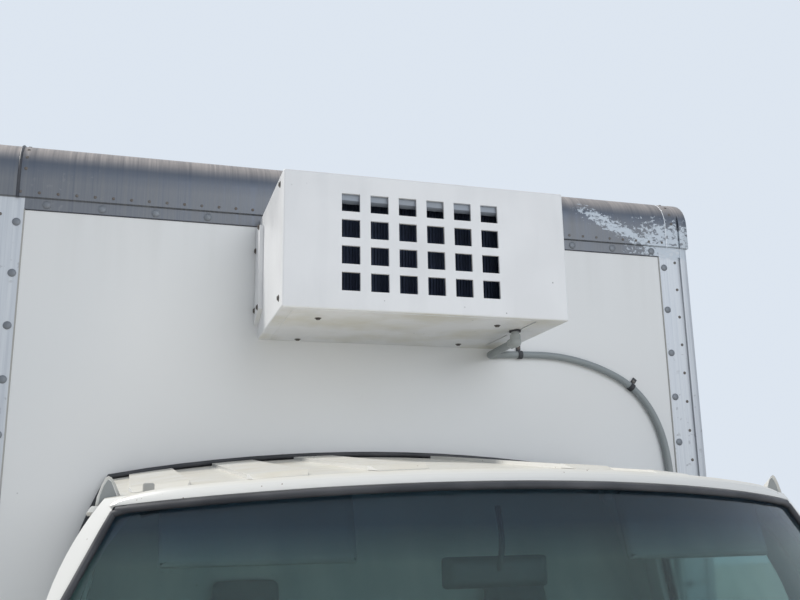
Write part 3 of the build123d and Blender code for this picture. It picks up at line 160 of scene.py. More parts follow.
def pick_side(piece, direction):
    """Opens edit mode with the faces selected that look straight along a direction."""
    pick_faces(piece, lambda centre, normal: normal.dot(Vector(direction)) > STRAIGHT)


def stepped(piece, direction, *steps):
    """Insets one side of a piece and lifts it along the direction, for each step of (inset, lift)."""
    pick_side(piece, direction)
    for inset, lift in steps:
        bpy.ops.mesh.inset(thickness=inset)
        bpy.ops.transform.translate(value=Vector(direction) * lift)
    close_edit()
    return piece


def resized(piece, direction, size, **settings):
    """Scales one side of a piece, about its own middle unless a centre is given."""
    pick_side(piece, direction)
    bpy.ops.transform.resize(value=size, **settings)
    close_edit()


def rounded(piece, bevel, segments=2):
    """Bevels all edges of a piece."""
    pick_faces(piece, lambda centre, normal: True)
    bpy.ops.mesh.bevel(offset=bevel, segments=segments, affect="EDGES")
    close_edit()


def baked(piece):
    """Puts the piece's place, turn and size into its mesh, so that its object sits at the origin."""
    only(piece)
    bpy.ops.object.transform_apply(location=True, rotation=True, scale=True)
    return piece


def cuboid(low, high, bevel=0.0, segments=2):
    """A box between two corners with rounded edges."""
    low, high = Vector(low), Vector(high)
    bpy.ops.mesh.primitive_cube_add(size=1, location=(low + high) / 2)
    piece = bpy.context.object
    piece.scale = high - low
    baked(piece)
    if bevel:
        rounded(piece, bevel, segments)
    return piece


def drum(radius, depth, sides=24, start=(0, 0, 0), along=UP):
    """A round bar of a given length that starts at a point and runs along a direction."""
    along = Vector(along).normalized()
    centre = Vector(start) + along * depth / 2
    turn = along.to_track_quat("Z", "Y").to_euler()
    bpy.ops.mesh.primitive_cylinder_add(vertices=sides, radius=radius, depth=depth, location=centre,
                                        rotation=turn)
    return baked(bpy.context.object)


def tube(points, radius, name="tube", closed=False, sides=3, smooth=False):
    """A round bar along a line of points, made from a bevelled curve."""
    curve = bpy.data.curves.new(name, "CURVE")
    curve.dimensions = "3D"
    curve.bevel_depth = radius
    curve.bevel_resolution = sides
    curve.use_fill_caps = not closed
    spline = curve.splines.new("NURBS" if smooth else "POLY")
    spline.points.add(len(points) - 1)
    for target, point in zip(spline.points, points):
        target.co = (*point, 1)
    if smooth:
        spline.order_u = 3
        spline.use_endpoint_u = not closed
    spline.use_cyclic_u = closed
    piece = bpy.data.objects.new(name, curve)
    bpy.context.scene.collection.objects.link(piece)
    only(piece)
    bpy.ops.object.convert(target="MESH")
    return bpy.context.object


def joined(pieces):
    """Several meshes as one piece."""
    bpy.ops.object.select_all(action="DESELECT")
    for piece in pieces:
        piece.select_set(True)
    bpy.context.view_layer.objects.active = pieces[0]
    if len(pieces) > 1:
        bpy.ops.object.join()
    return pieces[0]


def twin_of(piece, place):
    """A copy with its own mesh, moved by a place matrix."""
    twin = piece.copy()
    twin.data = piece.data.copy()
    twin.data.transform(place)
    bpy.context.scene.collection.objects.link(twin)
    return twin


def spread(pattern, places):
    """Copies one modelled shape to each place and joins the copies."""
    copies = [twin_of(pattern, place) for place in places]
    bpy.data.objects.remove(pattern)
    return joined(copies)


def facing(point, direction, spin=0.0):
    """A place matrix: a shape that stands on +Z stands at the point and looks along the direction."""
    turn = Vector(direction).to_track_quat("Z", "Y").to_matrix().to_4x4()
    return Matrix.Translation(point) @ turn @ Matrix.Rotation(spin, 4, "Z")


def other_side(piece):
    """A separate mirror image on the other side of the truck."""
    twin = twin_of(piece, Matrix.Scale(-1, 4, LEFTWARD))
    twin.data.flip_normals()
    return twin


def mirrored(piece):
    """The piece and its mirror image as one."""
    return joined([piece, other_side(piece)])


FINISH = {}
SMOOTH_BELOW = 35


def hand_over(piece, name, finish, body="chassis", angle=SMOOTH_BELOW):
    """Names a piece, gives it its finish, smooths it and makes it ride on its body."""
    baked(piece)
    bpy.ops.object.shade_smooth_by_angle(angle=math.radians(angle))
    piece.name = name
    piece.data.name = name
    piece.data.materials.clear()
    piece.data.materials.append(FINISH[finish])
    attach(piece, body)
    print(name, len(piece.data.polygons), "faces on", body)
    return piece


def pair_up(rows, body):
    """Hands each piece to the left one of two bodies, and its mirror image to the right one."""
    for piece, name, finish in rows:
        for copy, side in ((piece, "left"), (other_side(piece), "right")):
            hand_over(copy, f"{name}_{side}", finish, f"{body}_{side}")


# %% [markdown]
# Finishes from nodes
#
# A finish is a shader with patterns that drive its colour, roughness and relief. All patterns read the
# object's own coordinates, in metres, so dust and scratches keep their real size. Short helpers add a
# node or two each, and the recipes below read like a painter's notes.

# %% Helpers for shader nodes


def add(tree, kind, feeds=None, **settings):
    """Adds a shader node. feeds gives an input its value or the socket that drives it."""
    node = tree.nodes.new("ShaderNode" + kind)
    for key, value in settings.items():
        setattr(node, key, value)
    for key, value in (feeds or {}).items():
        if isinstance(value, bpy.types.NodeSocket):
            tree.links.new(value, node.inputs[key])
        else:
            node.inputs[key].default_value = value
    return node


def new_finish(name, colour, roughness, metallic=0.0, **sockets):
    """Starts a finish with its plain values on the shader's own sockets."""
    material = bpy.data.materials.new(name)
    material.use_nodes = True
    tree = material.node_tree
    shader = tree.nodes["Principled BSDF"]
    shader.inputs["Base Color"].default_value = (*colour, 1)
    shader.inputs["Roughness"].default_value = roughness
    shader.inputs["Metallic"].default_value = metallic
    for key, value in sockets.items():
        shader.inputs[key.replace("_", " ")].default_value = value
    FINISH[name] = material
    return tree, shader


def spot(tree, scale=(1, 1, 1)):
    """Object coordinates, stretched: a larger scale makes the pattern finer that way."""
    source = add(tree, "TexCoord")
    feeds = {"Vector": source.outputs["Object"], "Scale": scale}
    return add(tree, "Mapping", feeds).outputs[0]


def band(tree, value, low, high):
    """0 at low, 1 at high and straight between them."""
    return add(tree, "MapRange", {"Value": value, "From Min": low, "From Max": high}).outputs[0]


def noise(tree, where, scale, detail, feeds=None):
    """Plain noise. It stays near 0.5, and seldom leaves 0.3 to 0.7."""
    feeds = {"Vector": where, "Scale": scale, "Detail": detail, **(feeds or {})}
    return add(tree, "TexNoise", feeds).outputs["Fac"]


def cloud(tree, where, scale, low=0.4, high=0.6, detail=4.0):
    """Soft patches, as a mask from 0 to 1."""
    return band(tree, noise(tree, where, scale, detail), low, high)


def specks(tree, where, scale, size):
    """Small separate dots, as a mask."""
    cells = add(tree, "TexVoronoi", {"Vector": where, "Scale": scale})
    return band(tree, cells.outputs["Distance"], size, size * 0.6)


def maths(tree, operation, first, second=0.0):
    return add(tree, "Math", {0: first, 1: second}, operation=operation).outputs[0]


def times(tree, first, second):
    return maths(tree, "MULTIPLY", first, second)


def plus(tree, first, second):
    return maths(tree, "ADD", first, second)


def most(tree, first, second):
    return maths(tree, "MAXIMUM", first, second)


def tint(tree, mask, under, over):
    """The colour under where the mask is 0, and over where it is 1."""
    mix = add(tree, "Mix", {0: mask}, data_type="RGBA")
    for index, value in ((6, under), (7, over)):
        if isinstance(value, bpy.types.NodeSocket):
            tree.links.new(value, mix.inputs[index])
        else:
            mix.inputs[index].default_value = (*value, 1)
    return mix.outputs[2]


def axis(tree, which):
    """One coordinate of the object: X, Y or Z, in metres."""
    source = add(tree, "TexCoord")
    return add(tree, "SeparateXYZ", {0: source.outputs["Object"]}).outputs[which]


def tilt(tree, which):
    """How much the surface looks along X, Y or Z: its normal, which turns with the piece."""
    source = add(tree, "TexCoord")
    return add(tree, "SeparateXYZ", {0: source.outputs["Normal"]}).outputs[which]


def set_colour(tree, shader, colour):
    tree.links.new(colour, shader.inputs["Base Color"])


def set_roughness(tree, shader, mask, low, high):
    span = add(tree, "MapRange", {"Value": mask, "To Min": low, "To Max": high})
    tree.links.new(span.outputs[0], shader.inputs["Roughness"])


def set_relief(tree, shader, height, depth):
    """A bump whose full height is depth, in metres."""
    bump = add(tree, "Bump", {"Height": height, "Strength": 1.0, "Distance": depth})
    tree.links.new(bump.outputs[0], shader.inputs["Normal"])

# %% [markdown]
# White paint and white laminate
#
# Three whites meet on this truck. The cab has gloss enamel that chalks and holds yellow dust where it
# faces up. The box has smooth laminate panels with a few tar specks. The cooling unit has powder coat,
# which is matter, with painted shade in yellowish patches on its downward faces. All three start from
# nearly the same colour, and the dirt and the painted shade are what tell them apart.

# %% Cab enamel


def cab_enamel():
    tree, shader = new_finish("cab_paint", (0.80, 0.80, 0.78), 0.3, Coat_Weight=0.25)
    where = spot(tree)
    upward = band(tree, tilt(tree, 2), 0.55, 0.97)
    rain = cloud(tree, spot(tree, (9, 9, 2)), 1.0, 0.3, 0.75)
    dust = times(tree, upward, plus(tree, times(tree, rain, 0.5), 0.4))
    colour = tint(tree, dust, (0.80, 0.80, 0.775), (0.66, 0.62, 0.52))
    low_dirt = times(tree, band(tree, axis(tree, 2), 0.95, 0.45), cloud(tree, where, 5.0, 0.35, 0.7))
    colour = tint(tree, times(tree, low_dirt, 0.55), colour, (0.36, 0.32, 0.26))
    chips = times(tree, specks(tree, where, 46.0, 0.10), cloud(tree, where, 3.0, 0.56, 0.62))
    colour = tint(tree, chips, colour, (0.20, 0.12, 0.08))
    set_colour(tree, shader, colour)
    set_roughness(tree, shader, most(tree, dust, low_dirt), 0.24, 0.62)
    peel = noise(tree, where, 260.0, 1.0)
    set_relief(tree, shader, peel, 0.00012)


cab_enamel()

# %% Box laminate and cooling unit coat


def box_laminate():
    tree, shader = new_finish("box_panel", (0.80, 0.82, 0.83), 0.26)
    where = spot(tree)
    wide = cloud(tree, where, 0.9, 0.3, 0.7, 2.0)
    colour = tint(tree, wide, (0.79, 0.81, 0.82), (0.83, 0.835, 0.83))
    drip = times(tree, cloud(tree, spot(tree, (14, 14, 0.8)), 1.0, 0.5, 0.85),
                 band(tree, axis(tree, 2), 2.6, 2.95))
    colour = tint(tree, times(tree, drip, 0.25), colour, (0.50, 0.50, 0.47))
    tar = times(tree, specks(tree, where, 11.0, 0.045), cloud(tree, where, 2.3, 0.5, 0.55))
    colour = tint(tree, times(tree, tar, 0.7), colour, (0.22, 0.22, 0.22))
    spray = times(tree, band(tree, axis(tree, 2), 1.35, 0.75), cloud(tree, where, 4.0, 0.35, 0.75))
    colour = tint(tree, times(tree, spray, 0.4), colour, (0.42, 0.38, 0.32))
    set_colour(tree, shader, colour)
    set_roughness(tree, shader, most(tree, wide, spray), 0.22, 0.5)
    ripple = noise(tree, where, 2.2, 1.0)
    set_relief(tree, shader, ripple, 0.0016)


def unit_coat():
    tree, shader = new_finish("unit_white", (0.82, 0.83, 0.84), 0.36)
    where = spot(tree)
    # Painted shade: faces that look down get a darker yellowish tone in patches, for the unit's shaded
    # underside.
    below = band(tree, tilt(tree, 2), -0.4, -0.9)
    seams = times(tree, below, cloud(tree, where, 6.0, 0.42, 0.7))
    colour = tint(tree, times(tree, seams, 0.6), (0.82, 0.83, 0.845), (0.60, 0.57, 0.44))
    grime = times(tree, cloud(tree, spot(tree, (16, 16, 2.5)), 1.0, 0.5, 0.8), 0.22)
    colour = tint(tree, grime, colour, (0.58, 0.60, 0.62))
    tar = times(tree, specks(tree, where, 24.0, 0.07), cloud(tree, where, 7.0, 0.55, 0.6))
    colour = tint(tree, times(tree, tar, 0.75), colour, (0.25, 0.25, 0.26))
    set_colour(tree, shader, colour)
    set_roughness(tree, shader, cloud(tree, where, 5.0), 0.3, 0.46)
    grain = noise(tree, where, 420.0, 2.0)
    set_relief(tree, shader, grain, 0.0001)


def painted(name, colour, rust=0.25, roughness=0.35):
    """Sprayed steel with patches of road dirt and a little rust at random spots."""
    tree, shader = new_finish(name, colour, roughness)
    where = spot(tree)
    dirt = cloud(tree, where, 7.0, 0.4, 0.75)
    shade = tint(tree, times(tree, dirt, 0.45), colour, tuple(c * 0.45 + 0.05 for c in colour))
    rusty = times(tree, cloud(tree, where, 19.0, 0.62, 0.7, 8.0), cloud(tree, where, 2.1, 0.5, 0.6))
    shade = tint(tree, times(tree, rusty, rust * 3), shade, (0.21, 0.09, 0.04))
    set_colour(tree, shader, shade)
    set_roughness(tree, shader, most(tree, dirt, rusty), roughness, 0.75)
    set_relief(tree, shader, dirt, 0.0002)


box_laminate()
unit_coat()
painted("bumper_steel", (0.77, 0.78, 0.77), 0.3)
painted("frame_white", (0.78, 0.79, 0.79), 0.3)
painted("wheel_white", (0.72, 0.72, 0.69), 0.35, 0.42)
painted("rusty_grey", (0.34, 0.36, 0.36), 0.9, 0.5)
painted("chassis_black", (0.045, 0.045, 0.045), 0.3, 0.55)
print("paints:", len(FINISH))

# %% [markdown]
# Bare metal
#
# The roof rail and corner posts are extrusions left as they came from the mill. Weather has turned the
# rail's face between the posts dark, and oxide blooms in pale flakes near the driver's end. The curve
# above the face is dull, and carries a painted highlight in a warm tone, with a band of painted dark blue
# reflection where the face starts to bend. The fine streaks come from a noise that changes sixty times
# faster along the rail than up its face. Each zone is a mask on the object's own height and width.

# %% Aluminium and steels


def mill_aluminium():
    tree, shader = new_finish("mill_aluminium", (0.50, 0.52, 0.54), 0.42, 0.75)
    where = spot(tree)
    streaks = noise(tree, spot(tree, (190, 6, 3)), 1.0, 5.0)
    wide = noise(tree, spot(tree, (26, 3, 1.4)), 1.0, 3.0)
    lines = band(tree, plus(tree, times(tree, streaks, 0.6), times(tree, wide, 0.4)),
                 0.34, 0.66)
    height = axis(tree, 2)
    colour = tint(tree, lines, (0.44, 0.46, 0.49), (0.60, 0.62, 0.64))
    between_posts = band(tree, maths(tree, "ABSOLUTE", axis(tree, 0)), 1.114, 1.112)
    strip = times(tree, band(tree, height, 2.886, 2.890), between_posts)
    aged = most(tree, band(tree, height, 2.923, 2.927), strip)
    old_face = tint(tree, lines, (0.115, 0.125, 0.145), (0.185, 0.19, 0.20))
    colour = tint(tree, times(tree, aged, 0.94), colour, old_face)
    # Painted highlight: the upper curve of the rail, which turns to face the sky, is made lighter in a warm
    # tone.
    top_highlight = band(tree, height, 3.042, 3.092)
    top_highlight_face = tint(tree, lines, (0.30, 0.265, 0.245), (0.55, 0.49, 0.455))
    colour = tint(tree, times(tree, top_highlight, 0.85), colour, top_highlight_face)
    # Painted reflection: a dark blue band where the rail's face starts to bend.
    blue = times(tree, band(tree, height, 2.985, 3.03), band(tree, height, 3.075, 3.045))
    colour = tint(tree, times(tree, blue, 0.5), colour, (0.075, 0.095, 0.135))
    flakes = noise(tree, spot(tree, (1, 1, 1.5)), 46.0, 9.0, {"Roughness": 0.74, "Distortion": 0.35})
    fall = plus(tree, height, times(tree, axis(tree, 0), 0.42))
    slant = band(tree, maths(tree, "ABSOLUTE", maths(tree, "SUBTRACT", fall, 3.383)), 0.05, 0.008)
    slant = times(tree, slant, band(tree, axis(tree, 0), 0.74, 0.84))
    corner = times(tree, band(tree, axis(tree, 0), 0.94, 1.10), band(tree, height, 3.055, 2.985))
    zone = times(tree, most(tree, slant, corner), band(tree, height, 2.87, 2.89))
    bloom = band(tree, plus(tree, flakes, times(tree, zone, 0.2)), 0.625, 0.665)
    bloom = times(tree, bloom, band(tree, zone, 0.05, 0.15))
    colour = tint(tree, bloom, colour, (0.50, 0.54, 0.58))
    spots = times(tree, cloud(tree, where, 48.0, 0.62, 0.68, 6.0), cloud(tree, where, 4.0, 0.5, 0.62))
    colour = tint(tree, times(tree, spots, 0.5), colour, (0.24, 0.24, 0.25))
    set_colour(tree, shader, colour)
    set_roughness(tree, shader, most(tree, bloom, lines), 0.38, 0.62)
    set_relief(tree, shader, plus(tree, streaks, bloom), 0.0002)


def plain_metal(name, colour, roughness, grain=(60, 60, 60), metallic=1.0, dull=(0.2, 0.2, 0.2)):
    """Metal with a directional grain and dull patches."""
    tree, shader = new_finish(name, colour, roughness, metallic)
    fine = noise(tree, spot(tree, grain), 1.0, 6.0)
    patches = cloud(tree, spot(tree), 6.0, 0.45, 0.75)
    set_colour(tree, shader, tint(tree, times(tree, patches, 0.5), colour, dull))
    set_roughness(tree, shader, fine, roughness, min(0.9, roughness + 0.3))
    set_relief(tree, shader, fine, 0.0001)


mill_aluminium()
plain_metal("roof_sheet", (0.70, 0.71, 0.72), 0.35, (4, 90, 4), 0.9, (0.45, 0.45, 0.44))
plain_metal("floor_aluminium", (0.62, 0.63, 0.64), 0.38, (140, 3, 3), 0.95, (0.35, 0.35, 0.34))
plain_metal("coil_aluminium", (0.055, 0.075, 0.13), 0.55, (600, 20, 20), 0.3, (0.02, 0.028, 0.05))
plain_metal("galvanised", (0.52, 0.54, 0.55), 0.42, (30, 30, 30), 0.8, (0.34, 0.34, 0.34))
plain_metal("exhaust_steel", (0.36, 0.30, 0.25), 0.5, (50, 9, 50), 0.6, (0.20, 0.10, 0.05))
plain_metal("cast_iron", (0.22, 0.21, 0.20), 0.6, (80, 80, 80), 0.5, (0.14, 0.09, 0.06))
plain_metal("dark_steel", (0.16, 0.15, 0.14), 0.45, (90, 90, 90), 0.7, (0.12, 0.07, 0.04))
plain_metal("grey_rivet", (0.21, 0.225, 0.245), 0.4, (90, 90, 90), 0.7, (0.12, 0.125, 0.14))
plain_metal("bright_steel", (0.78, 0.79, 0.80), 0.22, (50, 50, 50), 1.0, (0.55, 0.55, 0.55))

# %% [markdown]
# Rubber, plastic, cloth and glass
#
# Rubber and moulded plastic differ mostly in their grain: tyre rubber is flat and dusty, a dashboard has
# a fine pebble, and conduit is smooth. Cloth is two sets of threads, drawn by two sines that cross. Lamp
# lenses have one even colour each, on the shader's own socket. The windows are green, a little streaky,
# and shaded blue along their top, so a pattern drives their colour.

# %% Soft and clear finishes


def moulded(name, colour, roughness, grain=900.0, depth=0.0002, dust=(0.30, 0.28, 0.25), dusty=0.25):
    """Plastic or rubber with a pebble grain and some dust."""
    tree, shader = new_finish(name, colour, roughness)
    where = spot(tree)
    cover = times(tree, cloud(tree, where, 6.0, 0.4, 0.8), dusty)
    set_colour(tree, shader, tint(tree, cover, colour, dust))
    set_roughness(tree, shader, cloud(tree, where, 9.0), roughness, min(0.95, roughness + 0.2))
    pebble = add(tree, "TexVoronoi", {"Vector": where, "Scale": grain}).outputs["Distance"]
    set_relief(tree, shader, pebble, depth)


def woven(name, first, second, thread=0.0016):
    """Cloth: two sets of threads that cross, with a mottled dye."""
    tree, shader = new_finish(name, first, 0.9, Sheen_Weight=0.35, Sheen_Roughness=0.5)
    turns = 2 * math.pi / thread
    across = maths(tree, "SINE", times(tree, axis(tree, 0), turns))
    depth = plus(tree, axis(tree, 1), axis(tree, 2))
    along = maths(tree, "SINE", times(tree, depth, turns))
    weave = band(tree, times(tree, across, along), -1.0, 1.0)
    dye = cloud(tree, spot(tree), 14.0, 0.3, 0.7)
    colour = tint(tree, plus(tree, times(tree, weave, 0.5), times(tree, dye, 0.3)),
                  first, second)
    set_colour(tree, shader, colour)
    set_relief(tree, shader, weave, 0.0004)


def clear(name, colour, roughness=0.03, through=0.9, bend=1.45):
    tree, shader = new_finish(name, colour, roughness, 0.0, Transmission_Weight=through, IOR=bend)
    smear = cloud(tree, spot(tree), 5.0, 0.4, 0.8)
    set_roughness(tree, shader, smear, roughness, roughness + 0.06)
    return tree, shader


def tinted_glass():
    """Green safety glass with a blue shade band along its top."""
    tree, shader = clear("tinted_glass", (0.36, 0.50, 0.50), 0.02, 0.97, 1.33)
    shade = times(tree, band(tree, axis(tree, 2), 1.86, 1.93), 0.8)
    streaks = cloud(tree, spot(tree, (9, 2, 2)), 1.0, 0.35, 0.7)
    body = tint(tree, streaks, (0.36, 0.50, 0.50), (0.46, 0.60, 0.58))
    set_colour(tree, shader, tint(tree, shade, body, (0.14, 0.22, 0.34)))


moulded("tyre_rubber", (0.035, 0.035, 0.036), 0.72, 500.0, 0.0003, (0.20, 0.18, 0.15), 0.4)
moulded("dash_plastic", (0.13, 0.135, 0.14), 0.5)
moulded("grille_plastic", (0.06, 0.06, 0.065), 0.5)
moulded("tank_plastic", (0.04, 0.04, 0.04), 0.5)
moulded("conduit_grey", (0.27, 0.30, 0.31), 0.42, 260.0, 0.0001, (0.34, 0.35, 0.34), 0.5)
moulded("cab_floor", (0.075, 0.075, 0.08), 0.7, 420.0, 0.0005, (0.22, 0.20, 0.17), 0.5)
moulded("black_rubber", (0.03, 0.032, 0.038), 0.55, 700.0, 0.0001, (0.16, 0.16, 0.17), 0.45)
moulded("grey_trim", (0.42, 0.42, 0.40), 0.6)
moulded("baffle_grey", (0.34, 0.38, 0.44), 0.5)
moulded("fitting_grey", (0.40, 0.43, 0.43), 0.4, 300.0, 0.0001, (0.30, 0.31, 0.30), 0.4)
moulded("sealant", (0.02, 0.025, 0.04), 0.35)
moulded("dial_black", (0.02, 0.02, 0.022), 0.3, 900.0, 0.00005, (0.05, 0.05, 0.05), 0.2)
woven("seat_fabric", (0.19, 0.20, 0.22), (0.34, 0.35, 0.37))
woven("roof_cloth", (0.40, 0.39, 0.36), (0.52, 0.51, 0.48), 0.001)
woven("belt_webbing", (0.10, 0.10, 0.11), (0.22, 0.22, 0.23), 0.0012)
tinted_glass()
clear("clear_lens", (0.93, 0.94, 0.95))
clear("amber_lens", (0.95, 0.38, 0.04), 0.08, 0.55)
clear("lamp_lens", (0.55, 0.03, 0.02), 0.1, 0.35)
plain_metal("mirror_glass", (0.86, 0.88, 0.90), 0.03, (1, 1, 1), 1.0, (0.80, 0.82, 0.84))
print("finishes:", len(FINISH))

# %% [markdown]
# Dress the frame
#
# The record of the frame says which finish each part has. One loop hands them out.

# %% Give every part its finish
for row in frame["record"]["subparts"]:
    node = frame["nodes"][row["node"]]
    node.data.materials.clear()
    node.data.materials.append(FINISH[row["material_slot"]])

# %% [markdown]
# Floor and light
#
# The studio is plain: a pale floor, a pale surround, a soft sun high on the passenger's side, and one
# weak, broad lamp from the front to fill the shade. The photo's box front is in shade and its left faces
# are lit, so the sun stands a little behind the front wall's plane.

# %% Build the studio


def lamp(name, kind, power, colour, along):
    """A lamp that shines along a direction."""
    data = bpy.data.lights.new(name, kind)
    data.energy = power
    data.color = colour
    piece = bpy.data.objects.new(name, data)
    bpy.context.scene.collection.objects.link(piece)
    piece.rotation_euler = Vector(along).to_track_quat("-Z", "Y").to_euler()
    return piece


def studio():
    bpy.ops.object.select_all(action="DESELECT")
    bpy.ops.mesh.primitive_plane_add(size=60, location=(0, 0, 0))
    floor = bpy.context.object
    floor.name = "studio_floor"
    tree, shader = new_finish("studio_floor", (0.62, 0.62, 0.61), 0.85)
    worn = cloud(tree, spot(tree), 0.7, 0.3, 0.7)
    set_colour(tree, shader, tint(tree, worn, (0.60, 0.60, 0.59), (0.64, 0.64, 0.63)))
    floor.data.materials.append(FINISH["studio_floor"])
    world = bpy.data.worlds.new("surround")
    bpy.context.scene.world = world
    world.use_nodes = True
    tree = world.node_tree
    light = tree.nodes["Background"]
    light.inputs[0].default_value = (0.80, 0.86, 0.95, 1)
    light.inputs[1].default_value = 0.42
    seen = add(tree, "Background", {0: (0.76, 0.83, 0.92, 1), 1: 0.95})
    rays = add(tree, "LightPath")
    direct = most(tree, rays.outputs["Is Camera Ray"], rays.outputs["Is Transmission Ray"])
    direct = most(tree, direct, rays.outputs["Is Glossy Ray"])
    mix = add(tree, "MixShader", {0: direct})
    tree.links.new(light.outputs[0], mix.inputs[1])
    tree.links.new(seen.outputs[0], mix.inputs[2])
    tree.links.new(mix.outputs[0], tree.nodes["World Output"].inputs[0])
    sun = lamp("sun", "SUN", 2.6, (1.0, 0.97, 0.92), (0.62, -0.22, -0.75))
    sun.data.angle = math.radians(6)
    fill_place, fill_target = Vector((2.5, -9.0, 4.5)), Vector((0, -1.1, 2.2))
    fill = lamp("fill", "AREA", 190.0, (0.93, 0.96, 1.0), fill_target - fill_place)
    fill.location = fill_place
    fill.data.size = 5.0


studio()

# %% [markdown]
# Rivets and bolts
#
# A box body is held by hundreds of rivets, and the eye reads its size from them. One head is modelled
# for each kind: a short drum whose top is inset and lifted twice makes the dome, and a bolt is a six
# sided drum on a washer. The heads are then copied along their rows. A particle system could do the same,
# but a list of places is easier to read and to line up with the real seams.

# %% Model the heads


def rivet_head(radius, height, sides=14):
    """A domed head that stands on z = 0."""
    bpy.ops.mesh.primitive_cylinder_add(vertices=sides, radius=radius, depth=height * 0.4,
                                        location=(0, 0, height * 0.2))
    head = baked(bpy.context.object)
    return stepped(head, UP, (radius * 0.24, height * 0.36), (radius * 0.30, height * 0.24))


def bolt_head(radius, height):
    """A hexagon head with a chamfer, on its washer."""
    washer = drum(radius * 1.45, height * 0.25, 20)
    head = stepped(drum(radius, height, 6), UP, (radius * 0.16, height * 0.12))
    return joined([washer, head])


def new_mesh(name, points, faces):
    """A mesh object from points and faces, selected on its own."""
    mesh = bpy.data.meshes.new(name)
    mesh.from_pydata([Vector(point) for point in points], [], faces)
    piece = bpy.data.objects.new(name, mesh)
    bpy.context.scene.collection.objects.link(piece)
    return only(piece)


def plate(points, thick, bevel=0.0):
    """A flat outline in space, pushed out by the vector thick."""
    piece = new_mesh("plate", points, [list(range(len(points)))])
    bpy.ops.object.mode_set(mode="EDIT")
    bpy.ops.mesh.select_all(action="SELECT")
    bpy.ops.mesh.extrude_region_move(TRANSFORM_OT_translate={"value": thick})
    bpy.ops.mesh.select_all(action="SELECT")
    bpy.ops.mesh.normals_make_consistent(inside=False)
    if bevel:
        bpy.ops.mesh.bevel(offset=bevel, segments=2, affect="EDGES")
    close_edit()
    return piece


def steps_from(start, pitch, count):
    return [start + pitch * step for step in range(count)]


print("heads and plates ready")

# %% [markdown]
# Front of the box
#
# The lower strip of the roof rail has large rivets, the seam above it small ones. The end caps of the
# rail meet it at two seams: black sealant on the passenger's side, a bright butt joint on the other. The
# corner posts carry a row of large rivets and a finer row nearer the corner. Rows stop behind the cooling
# unit, where the real ones are hidden. Each row is a start, a pitch and a count.

# %% Rivets and seams of the front frame
STRIP_Y = BOX_FRONT - SKIN
RAIL_Y = STRIP_Y - 0.006
RAIL_FOOT = 2.925
RAIL_BEND = 3.02
RAIL_RADIUS = 0.105
STRIP_RIVET_Z = 2.9075
SEAM_RIVET_Z = 2.943
CAP_SEAMS = (-1.135, 1.147)
CAP_RIVETS = (-1.117, 1.176)
POST_RIVET_X = 1.132
POST_INNER = 1.1125


def rail_path(x, out=0.0, steps=8):
    """Points up the roof rail's face and over its curve at x."""
    centre_y = RAIL_Y + RAIL_RADIUS
    path = [Vector((x, RAIL_Y - out, RAIL_FOOT))]
    for step in range(steps + 1):
        angle = math.radians(90) * step / steps
        reach = RAIL_RADIUS + out
        path.append(Vector((x, centre_y - reach * math.cos(angle), RAIL_BEND + reach * math.sin(angle))))
    return path


def behind_unit(x):
    return cover_low.x - 0.02 < x < cover_high.x + 0.02


strip_places = [facing((x, STRIP_Y, STRIP_RIVET_Z), FORWARD) for x in steps_from(-1.049, 0.164, 14)
                if not behind_unit(x)]
hand_over(spread(rivet_head(0.0125, 0.0045), strip_places), "strip_rivets", "grey_rivet")
seam_places = [facing((x, RAIL_Y, SEAM_RIVET_Z), FORWARD) for x in steps_from(-1.1275, 0.055, 42)]
hand_over(spread(rivet_head(0.0048, 0.002, 10), seam_places), "seam_rivets", "dark_steel")
post_places = []
fine_places = []
for side in (-1, 1):
    for z in steps_from(2.846, -0.1625, 13):
        post_places.append(facing((side * POST_RIVET_X, STRIP_Y, z), FORWARD))
    for z in steps_from(2.868, -0.105, 20):
        fine_places.append(facing((side * 1.180, STRIP_Y, z), FORWARD))
        fine_places.append(facing((side * (BOX_HALF + SKIN), BOX_FRONT + 0.085, z), (side, 0, 0)))
for x in CAP_RIVETS:
    for point in rail_path(x)[1::2]:
        fine_places.append(facing(point, (0, point.y - RAIL_Y - RAIL_RADIUS, point.z - RAIL_BEND)))
hand_over(spread(rivet_head(0.0125, 0.0045), post_places), "post_rivets", "grey_rivet")
hand_over(spread(rivet_head(0.0055, 0.0022, 10), fine_places), "fine_rivets", "dark_steel")
hand_over(tube(rail_path(CAP_SEAMS[0], 0.001), 0.0045, "seal"), "cap_sealant", "sealant")
hand_over(tube(rail_path(CAP_SEAMS[1], 0.0002), 0.0014, "joint"), "cap_joint", "bright_steel")
beads = [tube([(x, BOX_FRONT - 0.0005, wall_low.z + 0.01), (x, BOX_FRONT - 0.0005, 2.888)], 0.0028)
         for x in (-POST_INNER, POST_INNER)]
hand_over(joined(beads), "post_sealant", "grey_trim")

# %% [markdown]
# Mouldings of the box's front corners
#
# A rounded moulding wraps each front corner and stands proud of the side wall, and the roof rail ends in
# a closed piece of the same width above it. Both are outlines pushed out to their length or width.

# %% Corner mouldings, rail ends and the seam under the strip
PROUD = 0.018


def corner_moulding():
    """A rounded bead up the corner, which stands proud of the side wall."""
    outer = BOX_HALF + SKIN
    section = [(outer - 0.018, STRIP_Y + 0.004), (outer - 0.018, STRIP_Y - 0.001)]
    for step in range(5):
        angle = math.radians(22.5 * step)
        section.append((outer + PROUD * math.sin(angle), STRIP_Y - 0.001 + PROUD * (1 - math.cos(angle))))
    section += [(outer + PROUD, STRIP_Y + 0.052), (outer + PROUD * 0.6, STRIP_Y + 0.064),
                (outer - 0.002, STRIP_Y + 0.064), (outer - 0.002, STRIP_Y + 0.004)]
    return plate([(x, y, wall_low.z) for x, y in section], (0, 0, RAIL_FOOT - wall_low.z))


